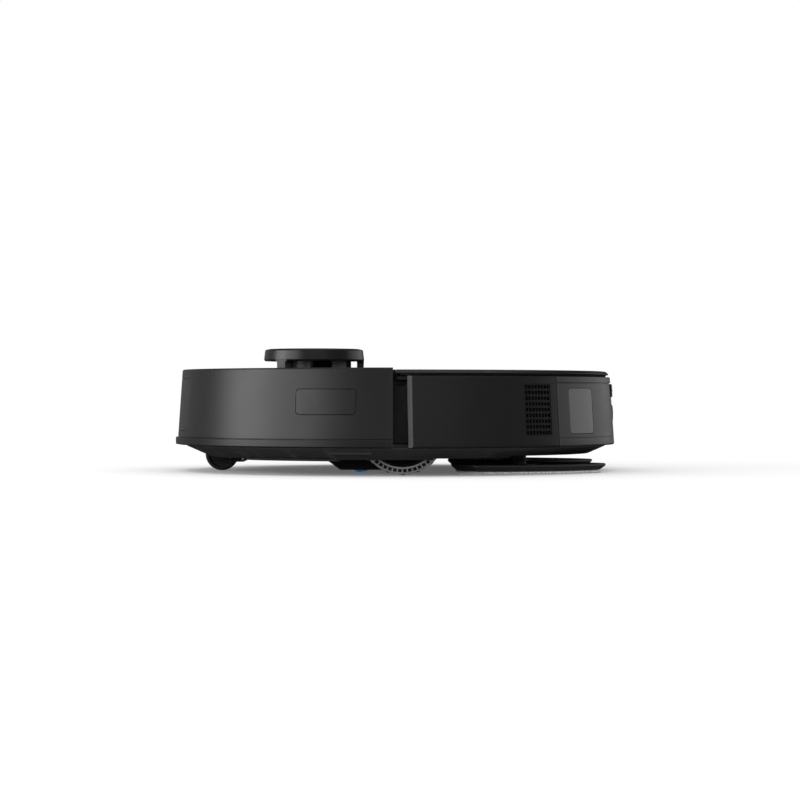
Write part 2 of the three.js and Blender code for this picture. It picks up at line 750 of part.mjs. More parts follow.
addBothSides('mop_gearbox', makeMopGearbox(), DARK_GREY);
addBothSides('mop_disc', makeMopDisc(), BLACK);
addBothSides('mop_pad', makeMopPad(), PAD_GREY);

add('dust_bin', makeDustBin(), SMOKED);
add('dust_bin_lid', makeDustBinLid(), BLACK);
add('dust_filter', block(-34, 34, 64, 95, 60, 70), PAD_GREY);
add('battery_pack', block(-78, 78, -107, -72, 18, 60), BATTERY_BLUE);
add('main_circuit_board', block(-75, 75, -126, -50, 62, 64), BOARD_GREEN);
add('fan_housing', makeFanHousing(), DARK_GREY);
add('fan_impeller', makeFanImpeller(), BLACK);
add('water_tank', makeWaterTank(), SMOKED);
add('water_pump', block(56, 80, 30, 52, 18, 46), DARK_GREY);

export default robot;
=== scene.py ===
# Looks of a robot vacuum with two spinning mops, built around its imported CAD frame.
# Helper functions take millimetres; every object is in metres in the frame of the CAD model.
# Front is -Y, up is +Z, and the robot's left side is +X.
import math
import random

import bmesh
import bpy
from mathutils import Matrix, Vector


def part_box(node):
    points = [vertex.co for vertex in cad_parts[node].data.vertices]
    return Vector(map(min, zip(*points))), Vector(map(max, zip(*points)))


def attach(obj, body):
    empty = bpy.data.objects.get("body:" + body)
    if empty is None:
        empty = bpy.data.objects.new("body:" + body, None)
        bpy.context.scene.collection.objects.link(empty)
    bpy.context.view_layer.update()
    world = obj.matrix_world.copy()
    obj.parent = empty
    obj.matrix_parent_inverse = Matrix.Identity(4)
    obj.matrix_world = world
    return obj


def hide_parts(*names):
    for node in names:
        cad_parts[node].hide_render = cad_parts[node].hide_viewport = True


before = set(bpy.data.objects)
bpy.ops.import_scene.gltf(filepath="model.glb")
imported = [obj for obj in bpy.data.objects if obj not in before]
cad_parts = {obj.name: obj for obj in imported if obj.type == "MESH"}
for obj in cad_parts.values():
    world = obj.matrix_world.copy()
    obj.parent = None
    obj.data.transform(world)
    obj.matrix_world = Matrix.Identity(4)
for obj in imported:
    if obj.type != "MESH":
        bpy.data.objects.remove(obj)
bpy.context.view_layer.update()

MM = 0.001
FAR = 300.0


def box_mm(node):
    """Lowest and highest corner of a CAD node, in millimetres."""
    low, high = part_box(node)
    return low / MM, high / MM


# ---------- sizes taken from the frame ----------

shell_low, shell_high = box_mm("bumper_shell")
rear_low, rear_high = box_mm("rear_shell_left")
cover_low, cover_high = box_mm("top_cover")
deck_low, deck_high = box_mm("front_deck")
cap_low, cap_high = box_mm("turret_cap")
rotor_low, rotor_high = box_mm("turret_rotor")
tyre_low, tyre_high = box_mm("tyre_left")
caster_low, caster_high = box_mm("caster_wheel")
roller_high = box_mm("roller_brush")[1]
mop_low, mop_high = box_mm("mop_disc_left")
pad_low = box_mm("mop_pad_left")[0]
pan_low = box_mm("base_chassis")[0]

WALL_BOTTOM_Z = shell_low.z
WALL_TOP_Z = shell_high.z
WALL_BOTTOM_RADIUS = 174.0
WALL_TOP_RADIUS = 170.0
WALL = 2.4
BUMPER_END_Y = shell_high.y
REAR_START_Y = rear_low.y
REAR_TOP_Z = rear_high.z
REAR_SEAM = 45.0
SEAM_GAP = 0.12
LID_START_Y = 0.2
FLANGE_START_Y = -2.4
CASTER_SWIVEL = (0.0, -132.0)
TURRET_CENTRE = (0.0, (cap_low.y + cap_high.y) / 2)
ROTOR_CENTRE = (0.0, (rotor_low.y + rotor_high.y) / 2)


def plan_centre(low, high):
    """The middle of a box, seen from above."""
    return ((low.x + high.x) / 2, (low.y + high.y) / 2)


def wall_radius(z):
    """Radius of the outer wall, which leans in a little towards the top."""
    rise = (z - WALL_BOTTOM_Z) / (WALL_TOP_Z - WALL_BOTTOM_Z)
    return WALL_BOTTOM_RADIUS + (WALL_TOP_RADIUS - WALL_BOTTOM_RADIUS) * rise


# ---------- mesh helpers ----------

ALONG_X = Matrix(((0, 0, 1), (1, 0, 0), (0, 1, 0))).to_4x4()  # (y, z, x) drawings
ALONG_Y = Matrix(((1, 0, 0), (0, 0, 1), (0, 1, 0))).to_4x4()  # (x, z, y) drawings


def new_object(name, bm):
    """A linked object from a bmesh drawn in millimetres."""
    bmesh.ops.scale(bm, vec=(MM, MM, MM), verts=bm.verts)
    bmesh.ops.recalc_face_normals(bm, faces=bm.faces)
    mesh = bpy.data.meshes.new(name)
    bm.to_mesh(mesh)
    bm.free()
    piece = bpy.data.objects.new(name, mesh)
    bpy.context.scene.collection.objects.link(piece)
    return piece


def join_rings(bm, rings, closed):
    """Quads from each ring of points to the next; an open row of rings gets its ends capped."""
    size = len(rings[0])
    for a, b in zip(rings, [*rings[1:], rings[0]] if closed else rings[1:]):
        for k in range(size):
            bm.faces.new((a[k], a[(k + 1) % size], b[(k + 1) % size], b[k]))
    if not closed:
        bm.faces.new(rings[0])
        bm.faces.new(list(reversed(rings[-1])))


def drop_slivers(bm):
    """Welds points that meet on the axis and removes the faces that vanish with them."""
    bmesh.ops.remove_doubles(bm, verts=bm.verts, dist=1e-5)
    thin = [f for f in bm.faces if f.calc_area() < 1e-9]
    bmesh.ops.delete(bm, geom=thin, context="FACES")


def turned(name, profile, start=0.0, end=360.0, steps=192, centre=(0.0, 0.0), axis="Z"):
    """A closed profile of (radius, height) turned about an axis, whole or as a capped sector."""
    bm = bmesh.new()
    whole = abs(end - start) > 359.9
    rings = []
    for i in range(steps if whole else steps + 1):
        angle = math.radians(start + (end - start) * i / steps)
        cos, sin = math.cos(angle), math.sin(angle)
        rings.append([bm.verts.new((r * cos, r * sin, z)) for r, z in profile])
    join_rings(bm, rings, whole)
    drop_slivers(bm)
    if axis == "X":
        bmesh.ops.transform(bm, matrix=ALONG_X, verts=bm.verts)
        bmesh.ops.translate(bm, vec=(0, centre[0], centre[1]), verts=bm.verts)
    else:
        bmesh.ops.translate(bm, vec=(centre[0], centre[1], 0), verts=bm.verts)
    return new_object(name, bm)


def prism(name, outline, low, high, matrix=None):
    """A flat outline of (x, y) points given a height, then placed by a matrix."""
    bm = bmesh.new()
    bottom = [bm.verts.new((x, y, low)) for x, y in outline]
    top = [bm.verts.new((x, y, high)) for x, y in outline]
    bm.faces.new(list(reversed(bottom)))
    bm.faces.new(top)
    size = len(outline)
    for k in range(size):
        bm.faces.new((bottom[k], bottom[(k + 1) % size], top[(k + 1) % size], top[k]))
    if matrix is not None:
        bmesh.ops.transform(bm, matrix=matrix, verts=bm.verts)
    return new_object(name, bm)


def boxes(name, corners, matrix=None):
    """Several separate boxes in one mesh, each given by its low and high corner."""
    bm = bmesh.new()
    for low, high in corners:
        size = Vector(high) - Vector(low)
        middle = (Vector(high) + Vector(low)) / 2
        place = Matrix.Translation(middle) @ Matrix.Diagonal((*size, 1))
        bmesh.ops.create_cube(bm, size=1, matrix=place)
    if matrix is not None:
        bmesh.ops.transform(bm, matrix=matrix, verts=bm.verts)
    return new_object(name, bm)


def arc(cx, cy, radius, start, end, steps):
    """Points along an arc, both ends included, angles in degrees."""
    points = []
    for i in range(steps + 1):
        angle = math.radians(start + (end - start) * i / steps)
        points.append((cx + radius * math.cos(angle), cy + radius * math.sin(angle)))
    return points


def slab(name, x0, x1, y0, y1, corner, low, high, matrix=None):
    """A plate with rounded corners."""
    right, left, near, far = x1 - corner, x0 + corner, y0 + corner, y1 - corner
    outline = []
    for k, (x, y) in enumerate(((right, near), (right, far), (left, far), (left, near))):
        outline += arc(x, y, corner, 90 * k - 90, 90 * k, 6)
    return prism(name, outline, low, high, matrix)


def slab_over(name, box, inset, corner, low, high):
    """A plate with rounded corners over a (low, high) box, drawn in by an inset."""
    start, end = box
    return slab(name, start.x + inset, end.x - inset, start.y + inset, end.y - inset, corner,
                low, high)


def rounded(corners, steps=5):
    """A closed (r, z) loop from corners of (r, z, rounding radius)."""
    points = []
    count = len(corners)
    for k in range(count):
        here = Vector(corners[k][:2])
        radius = corners[k][2]
        if radius <= 0:
            points.append(tuple(here))
            continue
        before = (Vector(corners[k - 1][:2]) - here).normalized()
        after = (Vector(corners[(k + 1) % count][:2]) - here).normalized()
        half = before.angle(after) / 2
        reach = radius / math.tan(half)
        centre = here + (before + after).normalized() * radius / math.sin(half)
        first = here + before * reach - centre
        last = here + after * reach - centre
        sweep = first.angle_signed(last)
        for i in range(steps + 1):
            turn = Matrix.Rotation(-sweep * i / steps, 2)
            points.append(tuple(centre + turn @ first))
    return points


def lathe(name, corners, *where, **more):
    """A piece turned from corners of (radius, height, rounding radius)."""
    return turned(name, rounded(corners), *where, **more)


def band(inner, outer, low, high):
    """The plain rectangle that a ring or a disc is turned from."""
    return [(inner, low), (outer, low), (outer, high), (inner, high)]


def drill(piece, radius, low, high, steps=192, centre=(0.0, 0.0), axis="Z"):
    """Cuts a round hole."""
    cut(piece, turned("tool", band(0, radius, low, high), 0, 360, steps, centre, axis))


def behind(y):
    """A tool that holds everything further back than y."""
    return prism("tool", [(-FAR, y), (FAR, y), (FAR, FAR), (-FAR, FAR)], 0, 100)


def spun(angle, centre=(0.0, 0.0)):
    """Matrix that turns a drawing about the vertical and moves it to a centre."""
    return Matrix.Translation((*centre, 0)) @ Matrix.Rotation(math.radians(angle), 4, "Z")


def outward(angle, centre=(0.0, 0.0)):
    """Matrix that turns (across, up, out) drawings to face out of the wall at an angle."""
    return spun(angle, centre) @ ALONG_X


def evaluated(piece):
    """Bakes the modifiers of a piece into its mesh."""
    bpy.context.view_layer.update()
    graph = bpy.context.evaluated_depsgraph_get()
    mesh = bpy.data.meshes.new_from_object(piece.evaluated_get(graph))
    old = piece.data
    piece.modifiers.clear()
    piece.data = mesh
    bpy.data.meshes.remove(old)
    return piece


def combine(piece, tool, operation):
    modifier = piece.modifiers.new("combine", "BOOLEAN")
    modifier.operation = operation
    modifier.solver = "EXACT"
    modifier.object = tool
    evaluated(piece)
    bpy.data.objects.remove(tool)
    return piece


def cut(piece, *tools):
    for tool in tools:
        combine(piece, tool, "DIFFERENCE")
    return piece


def keep(piece, tool):
    return combine(piece, tool, "INTERSECT")


def fuse(piece, *others):
    for other in others:
        combine(piece, other, "UNION")
    return piece


def merge(piece, *others):
    """Joins separate loose parts into one object."""
    bm = bmesh.new()
    bm.from_mesh(piece.data)
    for other in others:
        bm.from_mesh(other.data)
        bpy.data.objects.remove(other)
    bm.to_mesh(piece.data)
    bm.free()
    return piece


def soften(piece, width, segments=2, angle=50.0):
    """Rounds the sharp edges and shades the rest smooth."""
    bevel = piece.modifiers.new("bevel", "BEVEL")
    bevel.width = width * MM
    bevel.segments = segments
    bevel.limit_method = "ANGLE"
    bevel.angle_limit = math.radians(angle)
    bevel.miter_outer = "MITER_ARC"
    bevel.use_clamp_overlap = True
    evaluated(piece)
    return smooth(piece)


def smooth(piece, crease=38.0):
    """Shades a piece smooth, apart from edges sharper than the crease angle."""
    piece.data.shade_smooth()
    weighted = piece.modifiers.new("weighted", "WEIGHTED_NORMAL")
    weighted.keep_sharp = True
    weighted.weight = 80
    mark_sharp(piece, crease)
    evaluated(piece)
    return piece


def mark_sharp(piece, angle):
    bm = bmesh.new()
    bm.from_mesh(piece.data)
    limit = math.radians(angle)
    for edge in bm.edges:
        edge.smooth = edge.is_manifold and edge.calc_face_angle(math.pi) < limit
    bm.to_mesh(piece.data)
    bm.free()


def mirrored(piece, name):
    """A copy on the other side of the robot."""
    mesh = piece.data.copy()
    bm = bmesh.new()
    bm.from_mesh(mesh)
    bmesh.ops.transform(bm, matrix=Matrix.Diagonal((-1, 1, 1, 1)), verts=bm.verts)
    bmesh.ops.reverse_faces(bm, faces=bm.faces)
    bm.to_mesh(mesh)
    bm.free()
    other = bpy.data.objects.new(name, mesh)
    bpy.context.scene.collection.objects.link(other)
    other.data.shade_smooth()
    return other


def place(piece, body, material, slot, *nodes):
    """Gives a piece its material, hangs it on the body it rides on and hides the CAD nodes that it
    stands for.
    """
    piece.data.materials.clear()
    piece.data.materials.append(material)
    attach(piece, body)
    if nodes:
        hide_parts(*nodes)
    return piece


BODY, BUMPER = ("body", "body"), ("bumper", "bumper")
WHEELS, MOPS = ("left_wheel", "right_wheel"), ("left_mop", "right_mop")


def place_both(piece, bodies, material, slot, *nodes):
    """Places a left piece and its mirror image."""
    pair = (piece, mirrored(piece, f"{piece.name}_right"))
    for half, side, body in zip(pair, ("left", "right"), bodies):
        place(half, body, material, slot, *[f"{node}_{side}" for node in nodes])


# ---------- materials ----------


class Nodes:
    """A material under construction: its node tree, shader and object coordinates."""

    def __init__(self, name):
        self.material = bpy.data.materials.new(name)
        self.material.use_nodes = True
        self.tree = self.material.node_tree
        self.shader = self.tree.nodes["Principled BSDF"]
        self.place = self.add("ShaderNodeTexCoord").outputs["Object"]

    def add(self, kind, **settings):
        node = self.tree.nodes.new(kind)
        for key, value in settings.items():
            setattr(node, key, value)
        return node

    def link(self, source, target):
        self.tree.links.new(source, target)

    def feed(self, source, name):
        self.link(source, self.shader.inputs[name])

    def noise(self, scale, detail=3.0, stretch=None):
        """Noise over the object, scale in cycles per metre; stretch squeezes it along an axis."""
        node = self.add("ShaderNodeTexNoise")
        node.inputs["Scale"].default_value = scale
        node.inputs["Detail"].default_value = detail
        source = self.place
        if stretch is not None:
            mapping = self.add("ShaderNodeMapping")
            mapping.inputs["Scale"].default_value = stretch
            self.link(self.place, mapping.inputs["Vector"])
            source = mapping.outputs["Vector"]
        self.link(source, node.inputs["Vector"])
        return node.outputs["Fac"]

    def spread(self, source, low=0.0, high=1.0, start=0.3, stop=0.7):
        """Stretches the part of a value between start and stop to run from low to high."""
        node = self.add("ShaderNodeMapRange")
        node.inputs["From Min"].default_value = start
        node.inputs["From Max"].default_value = stop
        node.inputs["To Min"].default_value = low
        node.inputs["To Max"].default_value = high
        self.link(source, node.inputs["Value"])
        return node.outputs["Result"]

    def blend(self, factor, first, second):
        node = self.add("ShaderNodeMix", data_type="RGBA")
        self.link(factor, node.inputs["Factor"])
        for socket, value in ((node.inputs["A"], first), (node.inputs["B"], second)):
            if isinstance(value, tuple):
                socket.default_value = (*value, 1.0)
            else:
                self.link(value, socket)
        return node.outputs["Result"]

    def mottled(self, source, color, dark, light):
        """A colour that wanders between a darker and a lighter shade of itself."""
        return self.blend(self.spread(source), shade(color, dark), shade(color, light))

    def plus(self, first, second):
        node = self.add("ShaderNodeMath", operation="ADD")
        self.link(first, node.inputs[0])
        if isinstance(second, float):
            node.inputs[1].default_value = second
        else:
            self.link(second, node.inputs[1])
        return node.outputs["Value"]

    def bump(self, height, strength, distance, after=None):
        node = self.add("ShaderNodeBump")
        node.inputs["Strength"].default_value = strength
        node.inputs["Distance"].default_value = distance
        self.link(height, node.inputs["Height"])
        if after is not None:
            self.link(after, node.inputs["Normal"])
        return node.outputs["Normal"]

    def set(self, **values):
        for key, value in values.items():
            self.shader.inputs[key.replace("_", " ")].default_value = value

    def finish(self, color, roughness, normal, **values):
        """Feeds the shader and hands over the finished material."""
        self.feed(color, "Base Color")
        self.feed(roughness, "Roughness")
        self.feed(normal, "Normal")
        self.set(**values)
        return self.material


def shade(color, factor):
    return tuple(min(1.0, c * factor) for c in color)


def worn_edges(nodes, color, lift):
    """Lightens convex edges a little, as handling does to moulded plastic."""
    pointiness = nodes.add("ShaderNodeNewGeometry").outputs["Pointiness"]
    return nodes.blend(nodes.spread(pointiness, start=0.52, stop=0.62), color, lift)


def moulded_plastic(name, color, roughness, grain=0.12, grain_scale=2600.0):
    """Injection-moulded plastic with a fine spark grain and slightly uneven gloss."""
    nodes = Nodes(name)
    body = nodes.mottled(nodes.noise(14.0, 4.0), color, 0.95, 1.05)
    smears = nodes.noise(45.0, 5.0, (1.0, 1.0, 2.5))
    fine = nodes.noise(grain_scale, 2.0)
    gloss = nodes.plus(nodes.spread(smears, -0.012, 0.012), nodes.spread(fine, -0.02, 0.02))
    return nodes.finish(
        worn_edges(nodes, body, shade(color, 1.5)), nodes.plus(gloss, roughness),
        nodes.bump(fine, grain, 0.00008), IOR=1.48)


def polished_plastic(name, color, roughness=0.08, haze=0.05, specular=0.5):
    """Polished window plastic with faint swirl marks and dust."""
    nodes = Nodes(name)
    swirls = nodes.noise(260.0, 6.0, (1.0, 1.0, 0.2))
    return nodes.finish(
        nodes.mottled(nodes.noise(30.0), color, 0.8, 1.2),
        nodes.spread(swirls, roughness, roughness + haze),
        nodes.bump(nodes.noise(35.0, 1.0), 0.03, 0.0004), IOR=1.5, Specular_IOR_Level=specular)


def soft_rubber(name, color, roughness=0.78):
    nodes = Nodes(name)
    dust = nodes.spread(nodes.noise(90.0, 6.0), start=0.45, stop=0.75)
    fine = nodes.noise(1800.0)
    return nodes.finish(
        nodes.blend(dust, color, shade(color, 1.45)),
        nodes.spread(fine, roughness - 0.06, roughness + 0.06),
        nodes.bump(fine, 0.25, 0.0001), IOR=1.5)


def brushed_metal(name, color, roughness, stretch):
    nodes = Nodes(name)
    lines = nodes.noise(900.0, 4.0, stretch)
    return nodes.finish(
        nodes.mottled(lines, color, 0.82, 1.08),
        nodes.spread(lines, roughness - 0.08, roughness + 0.1),
        nodes.bump(lines, 0.12, 0.00005), Metallic=1.0)


def woven_microfibre(name, color):
    """Looped microfibre: rows of small tufts, with painted light and shade making them lighter on
    top and darker in the gaps between them.
    """
    nodes = Nodes(name)
    tufts = nodes.add("ShaderNodeTexVoronoi")
    tufts.inputs["Scale"].default_value = 620.0
    nodes.link(nodes.place, tufts.inputs["Vector"])
    fibres = nodes.noise(2400.0, 4.0)
    tuft_top_and_shade = nodes.spread(tufts.outputs["Distance"], 1.0, 0.0, 0.1, 0.8)
    # Painted light and shade: lighter on the tuft tops, about half as bright in the gaps between
    # tufts.
    body = nodes.blend(tuft_top_and_shade, shade(color, 0.55), shade(color, 1.12))
    return nodes.finish(
        nodes.blend(nodes.spread(nodes.noise(40.0), 0.0, 0.35), body, shade(color, 0.8)),
        nodes.spread(fibres, 0.85, 1.0),
        nodes.bump(fibres, 0.4, 0.0002, nodes.bump(tuft_top_and_shade, 0.7, 0.0006)),
        Sheen_Weight=0.4, Sheen_Roughness=0.5)


def filter_fleece(name, color):
    nodes = Nodes(name)
    fibres = nodes.noise(1500.0, 6.0, (1.0, 0.3, 1.0))
    return nodes.finish(
        nodes.mottled(fibres, color, 0.8, 1.0), nodes.spread(fibres, 0.8, 0.95),
        nodes.bump(fibres, 0.4, 0.0002), Sheen_Weight=0.2)


def bristle_nylon(name, dark, light):
    """Bristle strands, darker at the core, with painted highlights in patches where they would
    catch the light.
    """
    nodes = Nodes(name)
    along = nodes.noise(1100.0)
    return nodes.finish(
        nodes.blend(nodes.spread(along), dark, light), nodes.spread(along, 0.35, 0.6),
        nodes.bump(along, 0.4, 0.0002))


def circuit_board_green(name):
    """Solder mask with faint copper tracks under it."""
    nodes = Nodes(name)
    tracks = nodes.add("ShaderNodeTexBrick")
    tracks.inputs["Scale"].default_value = 90.0
    tracks.inputs["Color1"].default_value = (0.012, 0.09, 0.035, 1.0)
    tracks.inputs["Color2"].default_value = (0.01, 0.075, 0.03, 1.0)
    tracks.inputs["Mortar"].default_value = (0.03, 0.16, 0.06, 1.0)
    tracks.inputs["Mortar Size"].default_value = 0.03
    nodes.link(nodes.place, tracks.inputs["Vector"])
    return nodes.finish(
        tracks.outputs["Color"], nodes.spread(nodes.noise(300.0), 0.25, 0.4),
        nodes.bump(tracks.outputs["Fac"], 0.2, 0.0001))


charcoal = moulded_plastic("charcoal_plastic", (0.0108, 0.0108, 0.0116), 0.40)
rear_plastic = moulded_plastic("rear_plastic", (0.02, 0.02, 0.0215), 0.42)
charcoal_top = moulded_plastic("charcoal_top", (0.013, 0.013, 0.014), 0.34, 0.08)
black_plastic = moulded_plastic("black_plastic", (0.0065, 0.0065, 0.007), 0.45)
# Painted light: the underside plastic is about three times lighter than the walls' charcoal, to
# make up for the shade under the robot.
belly_painted_fill_plastic = moulded_plastic("belly_painted_fill_plastic", (0.030, 0.030, 0.032), 0.55, 0.25, 1500.0)
inner_plastic = moulded_plastic("inner_plastic", (0.028, 0.028, 0.031), 0.5, 0.2, 1800.0)
vent_plastic = moulded_plastic("vent_plastic", (0.0075, 0.0075, 0.008), 0.5)
plate_plastic = moulded_plastic("side_plate_plastic", (0.055, 0.055, 0.058), 0.34, 0.05)
gloss_window = polished_plastic("gloss_window", (0.013, 0.013, 0.014), 0.36, 0.05)
smoked = polished_plastic("smoked_plastic", (0.035, 0.038, 0.045), 0.12, 0.08)
turret_glass = polished_plastic("turret_glass", (0.004, 0.003, 0.004), 0.12, 0.04, 0.04)
# Painted light: the cheeks are made light grey to make up for the shade under the turret cap.
cheek_painted_light_plastic = moulded_plastic("cheek_painted_light_plastic", (0.09, 0.09, 0.094), 0.5)
rubber = soft_rubber("soft_rubber", (0.008, 0.008, 0.008))
tyre_rubber = soft_rubber("tyre_rubber", (0.24, 0.24, 0.245), 0.72)
lug_rubber = soft_rubber("lug_rubber", (0.006, 0.006, 0.006), 0.8)
steel = brushed_metal("brushed_steel", (0.55, 0.56, 0.58), 0.3, (1.0, 0.05, 1.0))
plated = brushed_metal("contact_metal", (0.78, 0.74, 0.66), 0.22, (1.0, 1.0, 0.08))
microfibre = woven_microfibre("microfibre", (0.84, 0.84, 0.85))
fleece = filter_fleece("filter_paper", (0.62, 0.62, 0.58))
blue_bristle = bristle_nylon("blue_bristle", (0.05, 0.26, 0.85), (0.12, 0.48, 1.0))
battery_wrap = polished_plastic("battery_wrap", (0.02, 0.07, 0.24), 0.25, 0.1)
board = circuit_board_green("circuit_board")


# ---------- outer walls ----------

ARC_STEP = 1.0
BUMPER_GROOVE_Z = 27.2
REAR_GROOVE_Z = 27.7
PANEL_GROOVE_Z = 69.05
STRIP_CENTRE_Y = -1.2
BUMPER_RIM_RADIUS, BUMPER_RIM_Z = 165.5, 78.2
REAR_FOOT_RADIUS, REAR_FOOT_Z = 163.5, 23.0
BUMPER_END_ANGLE = math.degrees(math.asin(BUMPER_END_Y / WALL_TOP_RADIUS))


def groove(z, height=0.5, depth=0.6):
    """Corners of a fine groove round the wall, going up."""
    low, high = z - height / 2, z + height / 2
    outer = wall_radius(z)
    return [
        (outer, low - 0.12, 0.0), (outer - 0.12, low, 0.0), (outer - depth, low, 0.0),
        (outer - depth, high, 0.0), (outer - 0.12, high, 0.0), (outer, high + 0.12, 0.0),
    ]


def wall_sector(name, corners, start, end):
    return lathe(name, corners, start, end, max(2, round((end - start) / ARC_STEP)))


def wall_skin(inset, margin, inner, outer):
    """A profile along the wall, past both ends of a hole; inner and outer count from its face."""
    low, high = inset["z0"] - margin, inset["z1"] + margin
    return [
        (wall_radius(low) + inner, low), (wall_radius(low) + outer, low),
        (wall_radius(high) + outer, high), (wall_radius(high) + inner, high),
    ]


def through_wall(inset, grow=0.0):
    """A rounded rectangular tool through the wall; inset holds width, z0, z1, corner, angle."""
    half = inset["width"] / 2 + grow
    corner = max(0.3, inset["corner"] + grow)
    return slab("tool", -half, half, inset["z0"] - grow, inset["z1"] + grow, corner, 140, 200,
                outward(inset["angle"]))


def wall_plug(name, inset, thickness, proud=0.0, clearance=0.3, edge=0.25):
    """A plate that fills a hole in the wall, leaving an even gap round it."""
    reach = math.degrees(inset["width"] / 2 / WALL_TOP_RADIUS) + 2
    profile = wall_skin(inset, 4, -thickness, proud)
    middle = inset["angle"]
    plate = turned(name, profile, middle - reach, middle + reach, max(4, round(2 * reach)))
    keep(plate, through_wall(inset, -clearance))
    return soften(plate, edge)


SIDE_WINDOW = {"width": 47.2, "z0": 45.1, "z1": 64.5, "corner": 3.0, "angle": -17.6}
FRONT_WINDOW = {"width": 121.0, "z0": 32.0, "z1": 72.8, "corner": 4.0, "angle": -90.0}
VENT = {"width": 26.2, "z0": 29.4, "z1": 68.4, "corner": 1.5, "angle": 38.25}
REAR_PLATE = {"width": 35.0, "z0": 30.4, "z1": 65.2, "corner": 3.0, "angle": 55.5}
CONTACT = {"width": 9.0, "z0": 58.0, "z1": 69.0, "corner": 1.0, "angle": 82.0}


def facing_right(inset):
    return {**inset, "angle": 180.0 - inset["angle"]}


def make_bumper():
    bottom, top = WALL_BOTTOM_Z, WALL_TOP_Z
    corners = [
        (wall_radius(bottom) - WALL, bottom, 0.3), (wall_radius(bottom), bottom, 0.9),
        *groove(BUMPER_GROOVE_Z),
        (wall_radius(top), top, 1.5), (BUMPER_RIM_RADIUS, top, 0.5),
        (BUMPER_RIM_RADIUS, BUMPER_RIM_Z, 0.2),
        (wall_radius(BUMPER_RIM_Z) - WALL, BUMPER_RIM_Z, 0.4),
    ]
    bumper = wall_sector("bumper", corners, 180 - BUMPER_END_ANGLE, 360 + BUMPER_END_ANGLE)
    for inset in (FRONT_WINDOW, SIDE_WINDOW, facing_right(SIDE_WINDOW)):
        cut(bumper, through_wall(inset))
    smooth(bumper)
    place(bumper, "bumper", charcoal, "charcoal_plastic", "bumper_shell")

    inner, outer = WALL_BOTTOM_RADIUS - 1.2, WALL_BOTTOM_RADIUS + 0.2
    low, high = bottom + 0.3, BUMPER_GROOVE_Z - 0.4
    strip = lathe("bumper_strip_band", [
        (inner, low, 0.0), (outer, low, 0.5), (outer, high, 0.5), (inner, high, 0.0),
    ], 181.2, 358.8, 178, (0.0, STRIP_CENTRE_Y))
    smooth(strip)
    place(strip, "bumper", charcoal, "soft_rubber", "bumper_strip")

    front = wall_plug("front_window_lens", FRONT_WINDOW, 2.0, 0.0, 0.25)
    place(front, "bumper", gloss_window, "gloss_window", "front_window")
    side = wall_plug("side_window_lens", SIDE_WINDOW, 2.0, -0.05, 0.35)
    place_both(side, BUMPER, gloss_window, "gloss_window", "side_window")


def rear_profile(*grooves):
    bottom, top = WALL_BOTTOM_Z, REAR_TOP_Z
    return [
        (REAR_FOOT_RADIUS, bottom, 0.0), (wall_radius(bottom), bottom, 1.2),
        *[corner for line in grooves for corner in line],
        (wall_radius(top), top, 0.7), (wall_radius(top) - WALL, top, 0.3),
        (wall_radius(REAR_FOOT_Z) - WALL, REAR_FOOT_Z, 0.0), (REAR_FOOT_RADIUS, REAR_FOOT_Z, 0.0),
    ]


EDGE_LEAN = -0.02  # the front edge of a rear shell leans forward towards the top


def make_rear_shells():
    start = math.degrees(math.asin(REAR_START_Y / WALL_BOTTOM_RADIUS))
    lean = (WALL_TOP_RADIUS - WALL_BOTTOM_RADIUS) / (WALL_TOP_Z - WALL_BOTTOM_Z)
    sheared = Matrix((
        (1, 0, lean, -lean * WALL_BOTTOM_Z), (0, 1, EDGE_LEAN, -EDGE_LEAN * WALL_BOTTOM_Z),
        (0, 0, 1, 0), (0, 0, 0, 1),
    ))
    wall = wall_sector("rear_side", rear_profile(), start, REAR_SEAM - SEAM_GAP)
    rib = wall_sector("rib", [
        (166.4, 24.0, 0.0), (171.0, 24.0, 0.0), (168.8, 70.3, 0.0), (166.4, 70.3, 0.0),
    ], start, start + 2.0)
    fuse(wall, rib)
    chamfer = [
        (140.0, -20.0), (FAR, -20.0), (FAR, 19.6), (177.9, 19.6), (171.3, 9.4), (140.0, 9.4),
    ]
    cut(wall, prism("tool", chamfer, 0, 100, sheared))
    cut(wall, through_wall(VENT))
    smooth(wall, 28.0)
    place_both(wall, BODY, charcoal, "charcoal_plastic", "rear_shell")


VENT_ROWS = 9
VENT_COLUMNS = 8


def make_vent_grilles():
    reach = math.degrees(VENT["width"] / 2 / WALL_TOP_RADIUS) + 1.5
    profile = wall_skin(VENT, 3, -2.0, -0.45)
    grille = turned("vent_louvre", profile, VENT["angle"] - reach, VENT["angle"] + reach, 12)
    keep(grille, through_wall(VENT, -0.12))
    width = VENT["width"] - 1.6
    height = VENT["z1"] - VENT["z0"] - 0.6
    pitch_y = width / VENT_COLUMNS
    pitch_z = height / VENT_ROWS
    holes = []
    for row in range(VENT_ROWS):
        z = VENT["z0"] + 0.3 + pitch_z * (row + 0.5)
        for column in range(VENT_COLUMNS):
            y = pitch_y * (column - (VENT_COLUMNS - 1) / 2)
            half_y, half_z = pitch_y * 0.39, pitch_z * 0.31
            holes.append(((y - half_y, z - half_z, 150), (y + half_y, z + half_z, 190)))
    cut(grille, boxes("tool", holes, outward(VENT["angle"])))
    smooth(grille)
    place_both(grille, BODY, vent_plastic, "black_plastic", "vent_grille")
    # A matte black plate behind the slots: it blocks light from inside the robot, and its black is
    # painted shade that keeps the slots dark.
    baffle = turned("vent_shade_baffle", band(163.0, 164.6, 26.0, 70.4),
                    VENT["angle"] - 7.5, VENT["angle"] + 6.3, 12)
    smooth(baffle)
    place_both(baffle, BODY, rubber, "black_plastic")


